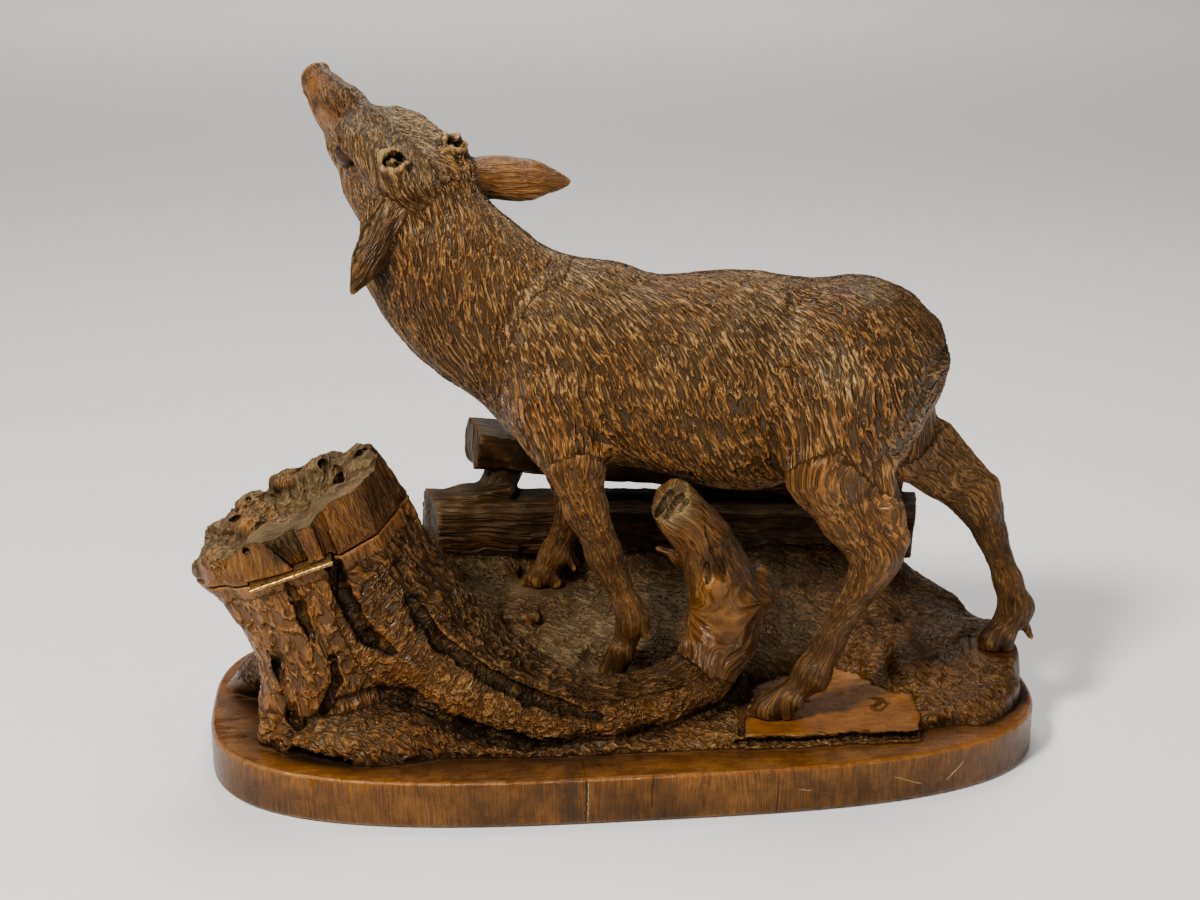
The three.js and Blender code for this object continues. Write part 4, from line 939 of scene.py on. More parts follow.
# The lid. Its own axes: x and y in the parting between it and the stump, z out of the stump.
lidShape = {
    "place": (-114, -25, 88.8),
    "tilt": 18.4,
    "rise": 6.5,
    "gap": 0.9,
    "left": 35.5,
    "right": 36.5,
    "halfDepth": 28,
    # flat faces split off the front and right: a place and the way out, in x and y
    "splitFaces": [((12, -26.9), (0.415, -0.91)), ((26.7, -20.2), (0.861, -0.509))],
    # the deep groove that runs down from the lid into the stump: ends and radii
    "groove": ((10.6, -27.6, -26), (11.2, -25.6, 22), 1.9, 2.3),
    "hollow": ((5, 2, 15), (17, 12, 8.5)),
    "holes": [((-1, -1, 8), (4, 3, 4)), ((8, 2, 6.5), (3.4, 2.6, 4)), ((18, 7, 10), (4, 3, 4))],
    "spike": [[27, 10, 10, 6], [29, 10, 15, 4], [29.5, 9, 18, 2.2]],
    "knobs": [
        ((-13, -8, 11.5), (6, 6, 5)), ((-20, 4, 8.5), (7, 6, 5)), ((-13, 14, 10.5), (7, 5, 5)),
        ((0, 18, 12.5), (7, 4.5, 5)), ((13, 17, 14), (6.5, 4.5, 4.5)), ((-26, -12, 4.5), (7, 8, 5.5)),
    ],
    "flap": [[-28, -6, 3.5, 8], [-34, -4, 1.5, 4.5]],
    "pits": [
        ((-26, -20, 9), (1.3, 1.3, 3)), ((-30, -14.5, 5), (1, 1.4, 1.2)),
        ((-15, -23.5, 11.5), (0.9, 1.6, 0.9)), ((-13, -6, 16), (1.4, 1.4, 2)),
        ((-19, 3, 13), (1.5, 1.2, 1.6)), ((-6, 17, 17), (1.4, 1.4, 2)), ((6, 19, 17), (1.6, 1.2, 2)),
        ((14, 14, 17), (1.7, 1.5, 2.4)), ((27.5, 6, 19), (1.7, 1.5, 2.2)),
        ((30.5, 7, 17.5), (1.2, 1.2, 2)), ((-14, 11, 14.5), (1.6, 1.4, 1.8)),
    ],
    "strokes": {
        "crown": {"length": 11, "width": 2.4, "depth": 0.38},
        "top": {"length": 6, "width": 2.8, "depth": 0.55},
        "band": {"length": 18, "width": 1.5, "depth": 0.35},
    },
    "searched": ((-155, -56, 72), (-74, 8, 122)),
    "voxel": 0.42,
    "triangles": 120000,
    "look": {"ridges": 0.3, "cuts": 0.55, "crestBump": 0.9, "shine": 0.3},
}

# The hinge, in the lid's axes: its pin lies along x, with its middle at along and its y at out.
hingeShape = {
    "length": 29,
    "along": -3.6,
    "out": -29.7,
    "knuckle": 1.25,
    "pin": 0.62,
    "leafThickness": 0.7,
    "leafDepth": 7.5,
    "leafGap": 0.5,
}


def partingAxesOf(shape):
    tilt, rise = np.radians([shape["tilt"], shape["rise"]])
    along = np.array([np.cos(tilt), 0, np.sin(tilt)])
    back = np.array([0, np.cos(rise), np.sin(rise)])
    back = unit(back - along * (back @ along))
    return axesAt(shape["place"], along, back, np.cross(along, back))


partingAxes = partingAxesOf(lidShape)


# Distance from an upright oval wall, true near the wall.
def ovalForm(x, y, halfX, halfY, squareness):
    u, v = np.abs(x / halfX) + 1e-4, np.abs(y / halfY) + 1e-4
    size = (u ** squareness + v ** squareness) ** (1 / squareness)
    steep = np.hypot((u / size) ** (squareness - 1) / halfX, (v / size) ** (squareness - 1) / halfY)
    return (size - 1) / steep


def ovalAround(x, y, oval):
    middleX, middleY, halfX, halfY, squareness = oval
    return ovalForm(x - middleX, y - middleY, halfX, halfY, squareness)


def rimOval(x, y):
    return ovalForm(x, y, baseShape["halfLength"], baseShape["halfDepth"], baseShape["squareness"])


def plateForm(p):
    side = rimOval(p[:, 0], p[:, 1])
    top = p[:, 2] - baseShape["rimHeight"]
    form = np.maximum(side, np.maximum(top, -p[:, 2]))
    corner = np.maximum(side + top, side - p[:, 2]) + baseShape["bevel"]
    return np.maximum(form, corner * 0.7071)


def footings():
    places = []
    for toe, heel, side, level, *_ in deerShape["hooves"]:
        places.append((*outOfAxes(np.array([(toe + heel) / 2, side, 0]), deerAxes)[:2], level))
    return places


hoofPlaces = footings()


def groundHeight(x, y):
    rise = baseShape["rimHeight"] + 1.3 + baseShape["groundSlope"] * (y - baseShape["groundFoot"])
    ledge = 5 * ramp(30, 39, y)
    rightFall = 0.0105 * np.maximum(0, x - 92) * np.maximum(0, y + 8)
    leftFall = ramp(-66, -122, x) * np.maximum(0, rise - 21) * 0.92
    backFall = 22 * ramp(61, 70, y)
    swell = 0.9 * np.sin(x / 7.1 + 1.3 * np.sin(y / 9.3)) * np.sin(y / 6.3 + 0.8)
    swell = swell + 0.5 * np.sin(x / 3.7 + y / 5.1 + 2) * np.sin(y / 4.3 - x / 8.7)
    height = rise + ledge - rightFall - leftFall - backFall + swell
    for px, py, level in hoofPlaces:
        height = mix(level, height, ramp(10, 17, np.hypot(x - px, y - py)))
    return height


def slabHeight(y):
    return baseShape["slabLevel"] + baseShape["slabSlope"] * (y - baseShape["slabHoof"])


def slabSides(x, y):
    wear = 0.5 * np.sin(x / 5.3 + 0.4) + 0.35 * np.sin(x / 2.1 + y / 7)
    return np.maximum.reduce([
        34 - x + 0.28 * (y + 60) + wear, x - 99 - 0.14 * (y + 52) + 0.6 * np.sin(y / 3.4),
        y - 4 - 0.5 * (x - 100), -58.5 - y + wear,
    ])


def groundForm(p):
    x, y, z = p.T
    height = groundHeight(x, y)
    slope = np.hypot(groundHeight(x + 0.5, y) - height, groundHeight(x, y + 0.5) - height) * 2
    hill = (z - height) / np.sqrt(1 + np.minimum(slope, 4) ** 2)
    hill = carve(hill, -ovalAround(x, y, baseShape["hillOval"]), 2.5)
    form = joinAll([hill, *[ball(p, *mound) for mound in baseShape["mounds"]]], 5)
    form = carve(form, -ovalAround(x, y, baseShape["footOval"]), 2)
    # the ground is cut away over the slab, and banked up behind it
    sides, bottom = slabSides(x, y), baseShape["slabBottom"] - z
    form = carve(form, np.maximum(sides, slabHeight(y) - z), 5)
    for centre, radii, softness in baseShape["banks"]:
        form = join(form, ball(p, centre, radii), softness)
    slab = np.maximum(sides, np.maximum(z - slabHeight(y), bottom))
    stepSides = slabSides(x, y + baseShape["stepInset"])
    step = np.maximum(stepSides, np.maximum(z - baseShape["stepLevel"], bottom))
    form = carve(join(join(form, slab, 0.4), step, 0.3), block(p, *baseShape["slabGap"]), 0.3)
    form = join(form, block(p, *baseShape["chip"]), 1.5)
    return carve(form, bar(p, *baseShape["footHollow"]), 1.5)


def crownForm(q):
    x, y, z = q.T
    above, below = np.maximum(0, z), np.minimum(0, z)
    left = lidShape["left"] - 0.5 * above + 0.42 * below
    right = lidShape["right"] - 0.16 * z
    depth = lidShape["halfDepth"] + 0.1 * below - 0.1 * above
    halfX = (left + right) / 2
    px = x - (right - left) / 2
    angle = np.arctan2(y / depth, px / halfX)
    waves = 0.8 * np.sin(7 * angle + 1.1) + 0.7 * np.sin(11 * angle + 0.09 * z) + 0.5 * np.sin(19 * angle)
    flatFront = ramp(-0.55, -0.95, np.sin(angle))
    oval = (superellipse(px, y, halfX, depth, 2.4) - 1) * np.minimum(halfX, depth) - waves * (1 - flatFront)
    # the flat split faces at the front and right
    faces = [(x - at[0]) * out[0] + (y - at[1]) * out[1] for at, out in lidShape["splitFaces"]]
    return carve(np.maximum.reduce([oval, *faces]), bar(q, *lidShape["groove"]), 0.5)


def stumpForm(p):
    q = inAxes(p, partingAxes)
    trunk = joinAll([
        limb(p, baseShape["root"], 1, 5), limb(p, baseShape["bole"]),
        *[limb(p, foot, 1, 4) for foot in baseShape["feet"]],
    ], 7)
    top = np.maximum.reduce([crownForm(q), q[:, 2] - 4, (-30 - q[:, 2]) * 0.8])
    flap = limb(q, baseShape["flap"], 1, 5)
    form = join(trunk, join(top, flap, 4), 9)
    for cleft in baseShape["clefts"]:
        form = carve(form, limb(p, cleft), 0.9)
    return form


def branchForm(p):
    form = joinAll([
        limb(p, baseShape["branch"], 1, 6), limb(p, baseShape["branchStub"], 1, 4),
        ball(p, *baseShape["branchKnot"]), limb(p, baseShape["branchTwig"], 1, 2),
    ], 3)
    place, tipUp = baseShape["branchCut"]
    form = carve(form, -((p - place) @ unit(tipUp)), 0.6)
    form = carve(form, baseShape["branchTop"] - p[:, 2], 1)
    tip = baseShape["branchTip"]
    for across, wide, deep in tip["hollows"]:
        top = np.array(tip["place"]) + across * np.array(tip["across"])
        bottom = top + deep * np.array(tip["inward"])
        form = carve(form, bar(p, top, bottom, wide, wide * 0.8), 0.3)
    for crack in baseShape["branchCracks"]:
        form = carve(form, limb(p, crack), 0.4)
    return form


def logAxes(log):
    start, end, _, _, roll = log
    along = unit(np.subtract(end, start))
    back = np.array([0, np.cos(roll), np.sin(roll)])
    back = unit(back - along * (back @ along))
    return axesAt((np.array(start) + end) / 2, along, back, np.cross(along, back))


def logForm(p, log):
    x, y, z = inAxes(p, logAxes(log)).T
    length = np.linalg.norm(np.subtract(log[1], log[0]))
    halfHeight, halfThickness = log[2:4]
    wander = 0.8 * np.sin(x / 17) + 0.5 * np.sin(x / 7.3 + y)
    # long splits: the faces step in and out along the log
    split = np.round(1.6 * np.sin(x / 31 + z / 5) + 1.2 * np.sin(z / 3.1 + x / 60)) * 0.55
    flat = np.maximum(np.abs(y) - halfThickness + 0.5 + 0.5 * split, np.abs(z + wander * 0.5) - halfHeight)
    bevel = (np.abs(y) / halfThickness + np.abs(z) / halfHeight - 1.66) * 0.7 * min(halfHeight, halfThickness)
    return np.maximum.reduce([flat, bevel, np.abs(x) - length / 2 - 0.25 * y])


# A swelling on the lower log and a short post on it carry the upper one.
def logsForm(p):
    hump = np.maximum(ball(p, (-52, 49, 77.5), (16, 10, 8)), np.abs(p[:, 2] - 75 - 0.12 * p[:, 0] - 4) - 5.6)
    hump = np.maximum(hump, 41.5 - p[:, 1] + 0.25 * np.abs(p[:, 0] + 52))
    lower = join(logForm(p, baseShape["logs"][0]), hump, 0.8)
    wedge = np.maximum(bar(p, (-42, 57, 78), (-36, 58, 92), 7.5), 49.5 - p[:, 1] - 0.3 * (p[:, 0] + 46))
    upper = join(logForm(p, baseShape["logs"][1]), wedge, 1)
    return join(lower, upper, 2)


def hingeSpace(q, side):
    h = hingeShape
    groove = np.maximum(
        np.hypot(q[:, 1] - h["out"], q[:, 2]) - h["knuckle"] - fitGap,
        np.abs(q[:, 0] - h["along"]) - h["length"] / 2 - fitGap,
    )
    middle = h["out"] + h["knuckle"] + fitGap + h["leafDepth"] / 2
    level = side * (h["leafGap"] + h["leafThickness"]) / 2
    plate = block(q, (h["along"], middle - 2 + fitGap, level), (
        h["length"] / 2 + fitGap, h["leafDepth"] / 2 + 2, h["leafThickness"] / 2 + fitGap,
    ), 0)
    return np.minimum(groove, plate)


def baseForm(p):
    q = inAxes(p, partingAxes)
    form = join(join(stumpForm(p), branchForm(p), 6), groundForm(p), 2.5)
    form = join(form, logsForm(p), 1.5)
    form = np.minimum(np.maximum(form, baseShape["rootLevel"] - p[:, 2]), plateForm(p))
    # nothing stands above the parting, where the lid lies
    gap = lidShape["gap"] / 2
    form = np.maximum(form, -block(q, (0, 0, 20 - gap), (50, 45, 20), 0))
    x, y, floor, radius = baseShape["ink"]
    form = np.maximum(form, -np.maximum(np.hypot(p[:, 0] - x, p[:, 1] - y) - radius, floor - p[:, 2]))
    # a level place for each hoof
    d = inAxes(p, deerAxes)
    for toe, heel, side, level, *_ in deerShape["hooves"]:
        footing = block(d, ((toe + heel) / 2, side, level + 6), ((heel - toe + 5) / 2, 8.5, 6), 0)
        form = np.maximum(form, -footing)
    return np.maximum(form, -hingeSpace(q, -1))


def lidTop(x, y):
    angle = np.arctan2(y, x - 4)
    return 13.6 + 0.15 * x - 0.03 * y + 1.2 * np.sin(5 * angle) + 0.8 * np.sin(11 * angle + 1)


def lidForm(p):
    q = inAxes(p, partingAxes)
    x, y, z = q.T
    form = np.maximum.reduce([crownForm(q), -4 - z, (z - lidTop(x, y)) * 0.9])
    knobs = [ball(q, *knob) for knob in lidShape["knobs"]]
    form = joinAll([form, limb(q, lidShape["flap"], 1, 5), *knobs], 2)
    form = join(carve(form, ball(q, *lidShape["hollow"]), 1), limb(q, lidShape["spike"], 1, 3), 2.5)
    for hole in lidShape["holes"]:
        form = carve(form, ball(q, *hole), 0.6)
    for pit in lidShape["pits"]:
        form = carve(form, ball(q, *pit), 0.4)
    # the wedge split out of the front, and the deep groove beside it
    down = 14 - z
    wedge = np.maximum.reduce([(x - 3.2) * 0.99, -8.6 - x + 0.5 * down, y + 25.2 - 0.12 * down])
    form = carve(form, wedge, 0.4)
    form = np.maximum(form, lidShape["gap"] / 2 - z)
    return np.maximum(form, -hingeSpace(q, 1))


def aroundLimb(p, points, reach):
    along, away = followLimb(p, points)
    return along, np.arctan2(away[:, 1], away[:, 2] + 0.001) * reach


def baseFlow(p):
    q = inAxes(p, partingAxes)
    x, y, z = p.T
    none = np.zeros(len(p))
    distances = [
        limb(p, baseShape["root"], 1, 5),
        limb(p, baseShape["bole"]) + 1,
        np.abs(crownForm(q)) + 1 + np.maximum(0, -q[:, 2] - 2),
        branchForm(p),
        logsForm(p),
        groundForm(p),
        np.maximum(slabSides(x, y), np.abs(z - slabHeight(y)) - 1),
        plateForm(p) - 0.3,
    ]
    boleAngle = np.arctan2(y + 24.5, x + 101 + 0.24 * (z - 26))
    crownAngle = np.arctan2(q[:, 1], q[:, 0])
    log = inAxes(p, logAxes(baseShape["logs"][0]))
    angle = np.arctan2(y / 76, x / 150)
    onSide = rimOval(x, y) > -1.2
    root, turned = aroundLimb(p, baseShape["root"], 19)
    # cut across on the root's lower front, along it on top
    lower = turned < -17
    ways = [
        ("bark", np.where(lower, 1.5 * turned, root), np.where(lower, 1.15 * root, turned), 0.3 * lower),
        ("bole", z, boleAngle * 25, none),
        ("crown", q[:, 2] + 0.1 * crownAngle, crownAngle * 31, none),
        ("branch", *aroundLimb(p, baseShape["branch"], 10.5), none),
        ("logs", log[:, 0], np.arctan2(log[:, 1], log[:, 2] - 8) * 16, none),
        ("ground", 0.86 * x - 0.5 * y, 0.5 * x + 0.86 * y + 0.6 * z, none),
        ("slab", x, y, none),
        ("plate", np.where(onSide, z, x), np.where(onSide, angle * 110, y), none),
    ]
    return shares(distances, 0.9), ways


def baseRelief(p, normals):
    x, y, z = p.T
    q = inAxes(p, partingAxes)
    weights, ways = baseFlow(p)
    root, bole, crown, branch, logs, ground, slab, plate = weights
    u, v, depth = strokesOf(p, weights, ways, baseShape["strokes"], 31)
    calm = np.zeros(len(p))
    for px, py, level in hoofPlaces:
        calm = np.maximum(calm, ramp(14, 9, np.hypot(x - px, y - py)) * ramp(level + 4, level + 1, z))
    fromLid = np.linalg.norm(p - lidShape["place"], axis=1)
    seam = ramp(1.4, 0.6, np.abs(q[:, 2] + lidShape["gap"] / 2)) * ramp(60, 50, fromLid)
    calm = np.maximum(calm, seam)
    # the rough bark of the root's upper side, the finely picked upper ground
    rootTop = root * ramp(-0.1, 0.5, normals[:, 2] + 0.25 * normals[:, 1])
    upperGround = ground * ramp(-42, -30, y + 0.12 * x)
    depth *= (1 - calm) * (1 - 0.3 * upperGround)
    rough = 1 - plate
    height = (0.5 * noise(p, 8, 15) + 0.25 * noise(p, 3.2, 16)) * rough * (1 - calm)
    height += rootTop * (0.5 * noise(p, 4.5, 17) + 0.35 * noise(p, 2, 18))
    height += 0.3 * branch * noise(np.column_stack([x, y, z * 0.4]), 3.5, 24)
    grooves, ragged = np.zeros(len(p)), 1.3 * noise(p, 4, 26) + 0.8 * noise(p, 12, 27)
    for width, deep, points in baseShape["grooves"]:
        cut = frontStrip(p + ragged[:, None], normals, points, width) * (1 - seam)
        height -= deep * cut * 0.8
        grooves = np.maximum(grooves, cut)
    # ledges that follow the rim at the right
    inward = -rimOval(x, y)
    ledges = ground * ramp(96, 112, x) * ramp(26, 20, inward) * ramp(0.3, 0.8, normals[:, 2])
    height += ledges * (0.45 * np.modf((inward + 2 * noise(p, 20, 22)) / 5 + 10)[0] - 0.4)
    # folds that run down behind the slab
    folds = ground * ramp(52, 66, x) * ramp(118, 104, x) * ramp(-40, -30, y)
    height += folds * 0.9 * np.sin(x / 2.6 + 0.5 * np.sin(y / 6) + 1.5 * noise(p, 11, 23))

    side = plate * ramp(0.6, 0.2, np.abs(normals[:, 2]))
    tone = 0.3 * noise(p, 24, 21) + 0.55 * slab - 0.3 * side - 0.25 * branch
    tone += 0.15 * crown + 0.25 * bole * ramp(-0.3, 0.4, noise(p, 15, 25))
    # painted shade in part: the logs at the back and the root's upper side are darkened beyond their stain,
    # and the grooves are darkened with painted shade
    tone -= 0.75 * rootTop + 1.5 * logs + 0.5 * upperGround + 0.1 * ground + 0.35 * grooves
    tone += 0.4 * root * ramp(0.1, -0.4, normals[:, 2])
    # painted shade: the plate's top is darkened where it runs in under the foot of the ground
    tone -= 0.5 * plate * ramp(0.5, 0.9, normals[:, 2]) * ramp(6, 14, inward)
    knot = spot(p, (27.5, -38.5, 69), 5)
    tone += 0.8 * knot - 1.2 * spot(p, (29, -38.5, 76.5), 5) * branch
    tip = ramp(12, 6, np.linalg.norm(p - [13, -30, 97.5], axis=1))
    up = ramp(0.1, 0.9, normals[:, 2])
    dust = up * ramp(-0.5, 0.5, noise(p, 17, 19)) * (0.6 * upperGround + 0.25 * ground + 0.1 * logs)
    dust *= ramp(85, 45, x)
    dust = np.maximum(dust, tip * ramp(0.2, 0.6, -normals[:, 1] + normals[:, 2]))
    paleEdge = np.exp(-((inward - 0.6) / 1.2) ** 2) * np.exp(-((z - 16.6) / 1.4) ** 2)
    tone += 0.5 * paleEdge
    polish = 0.35 * slab + 0.5 * paleEdge + 0.15 * plate + 0.25 * branch
    return height, u, v, depth, np.clip(tone, -1, 1), dust, polish


def lidRelief(p, normals):
    q = inAxes(p, partingAxes)
    x, y, z = q.T
    angle = np.arctan2(y, x - 4)
    top = np.maximum(ramp(0.35, 0.75, normals @ partingAxes[0][:, 2]), ramp(-4, -7, crownForm(q)))
    band = top * ramp(-12, -15, y + 1.5 * noise(p, 8, 47)) * ramp(-20, -12, x)
    weights = np.array([1 - top, top * (1 - band), top * band])
    ways = [
        ("crown", z, angle * 31, 0 * x),
        ("top", 0.7 * (x + y), 0.7 * (y - x), 0 * x),
        ("band", x + 0.3 * y, y - 0.3 * x, 0 * x),
    ]
    u, v, depth = strokesOf(p, weights, ways, lidShape["strokes"], 41)
    calm = ramp(1.4, 0.6, np.abs(z - lidShape["gap"] / 2))
    depth *= 1 - calm
    gnarls = (0.45 - 1.6 * np.abs(noise(p, 5.5, 51))) + 0.4 * (0.45 - 1.6 * np.abs(noise(p, 2.6, 52)))
    height = 0.5 * noise(p, 6, 44) * (1 - 0.7 * band) + 0.9 * gnarls * top * (1 - band)
    height += 0.25 * noise(p, 2.8, 45)
    height *= 1 - calm
    dust = np.clip(top * (0.8 + 0.6 * noise(p, 4, 46)) + 0.3 * band, 0, 1)
    flap = spot(q, (-30, -9, 5), 13) * ramp(0.8, 0.3, top)
    knob = spot(q, (-14, -10, 15.5), 4)
    tone = 0.5 * flap - 0.05 * (1 - top) + 0.9 * knob + 0.35 * noise(p, 9, 48) - 0.3 * top
    wedge = ramp(-9, -6, x) * ramp(4, 2.6, x) * ramp(-20, -23, y) * ramp(2, 6, z)
    tone -= 0.9 * wedge + 0.5 * ramp(26, 28, x) * (1 - top)
    tone += 0.6 * top * ramp(-0.1, -0.5, noise(p, 8, 49)) - 0.5 * band * ramp(0.1, 0.5, noise(p, 3, 50))
    dust = dust * (1 - flap) * (1 - 0.8 * knob) + 0.25 * wedge * (1 - top)
    return height, u, v, depth, np.clip(tone, -1, 1), np.clip(dust, 0, 1), 0.3 * (1 - top)


def pieceBase():
    carvedPiece("carvedBase", "carved_base", "stand", baseForm, baseRelief, baseShape)


def pieceLid():
    carvedPiece("stumpLid", "stump_lid", "lid", lidForm, lidRelief, lidShape)


def pieceDeer():
    carvedPiece("carvedDeer", "deer", "stand", deerForm, deerRelief, deerShape)


# Materials. The meshes carry what the shader needs: grain (u and v of the strokes, and their
# depth), hollow (1 in a crease, -1 on an edge), shut (how closed in), tone (-1 dark: stain, and in
# places painted shade; 1 warm bare wood), dust and polish. Hollow, shut and the dark end of tone
# are also painted into the colour as shade.


class Nodes:
    def __init__(self, name):
        self.material = bpy.data.materials.new(name)
        self.material.use_nodes = True
        self.tree = self.material.node_tree
        self.tree.nodes.clear()
        self.shader = self.add("ShaderNodeBsdfPrincipled")
        out = self.add("ShaderNodeOutputMaterial")
        self.link(self.shader.outputs[0], out.inputs[0])

    def add(self, kind, **settings):
        node = self.tree.nodes.new(kind)
        for key, value in settings.items():
            setattr(node, key, value)
        return node

    def link(self, a, b):
        self.tree.links.new(a, b)

    def put(self, value, socket):
        if isinstance(value, bpy.types.NodeSocket):
            self.link(value, socket)
        else:
            socket.default_value = value

    def value(self, name, part="Fac"):
        return self.add("ShaderNodeAttribute", attribute_name=name).outputs[part]

    def math(self, operation, a, b=0.0):
        node = self.add("ShaderNodeMath", operation=operation)
        self.put(a, node.inputs[0])
        self.put(b, node.inputs[1])
        return node.outputs[0]

    def plus(self, a, b):
        return self.math("ADD", a, b)

    def times(self, a, b):
        return self.math("MULTIPLY", a, b)

    def scaled(self, vector, scale):
        node = self.add("ShaderNodeVectorMath", operation="MULTIPLY")
        self.link(vector, node.inputs[0])
        node.inputs[1].default_value = scale
        return node.outputs[0]

    def millimetres(self):
        return self.scaled(self.add("ShaderNodeTexCoord").outputs["Object"], [1 / metre] * 3)

    def noise(self, vector, scale, detail=3.0, roughness=0.55):
        node = self.add("ShaderNodeTexNoise")
        self.link(vector, node.inputs["Vector"])
        node.inputs["Scale"].default_value = scale
        node.inputs["Detail"].default_value = detail
        node.inputs["Roughness"].default_value = roughness
        return node.outputs["Fac"]

    # 0 on the ridges between the strokes, 1 along the floor of each
    def strokes(self, vector):
        texture = strokeNoise(self.add)
        self.link(vector, texture.inputs["Vector"])
        away = self.math("ABSOLUTE", self.math("SUBTRACT", texture.outputs[0], 0.5))
        return self.spread(away, 0, cutReach)

    # 1 along a mark on the rim's front, from start to end (x and z), its line a little ragged
    def mark(self, place, start, end, width):
        middle = [(a + b) / 2 for a, b in zip(start, end)]
        way = Vector((end[0] - start[0], 0, end[1] - start[1]))
        half = way.length / 2
        way.normalize()
        offset = self.add("ShaderNodeVectorMath", operation="SUBTRACT")
        self.link(place, offset.inputs[0])
        offset.inputs[1].default_value = (middle[0], 0, middle[1])
        measured = []
        for direction in (way, Vector((-way.z, 0, way.x)), Vector((0, 1, 0))):
            dot = self.add("ShaderNodeVectorMath", operation="DOT_PRODUCT")
            self.link(offset.outputs[0], dot.inputs[0])
            dot.inputs[1].default_value = direction
            measured.append(dot.outputs["Value"])
        along, across, depth = measured
        ragged = self.times(self.math("SUBTRACT", self.noise(place, 0.6, 3), 0.5), 2 * width + 0.6)
        near = self.math("ABSOLUTE", self.plus(across, ragged))
        mask = self.times(self.spread(near, width, 0.3 * width), self.spread(depth, -55, -60))
        return self.times(mask, self.spread(self.math("ABSOLUTE", along), half, 0.8 * half))

    def ramp(self, value, stops):
        node = self.add("ShaderNodeValToRGB")
        self.link(value, node.inputs[0])
        band = node.color_ramp
        while len(band.elements) < len(stops):
            band.elements.new(0.5)
        for element, (place, colour) in zip(band.elements, stops):
            element.position = place
            element.color = (*colour, 1)
        return node.outputs[0]

    def spread(self, value, low, high, toLow=0.0, toHigh=1.0):
        node = self.add("ShaderNodeMapRange", clamp=True)
        self.link(value, node.inputs[0])
        for i, number in enumerate((low, high, toLow, toHigh)):
            node.inputs[i + 1].default_value = number
        return node.outputs[0]

    def blend(self, share, a, b):
        node = self.add("ShaderNodeMix", data_type="RGBA")
        self.put(share, node.inputs[0])
        self.put(a if isinstance(a, bpy.types.NodeSocket) else (*a, 1), node.inputs[6])
        self.put(b if isinstance(b, bpy.types.NodeSocket) else (*b, 1), node.inputs[7])
        return node.outputs[2]


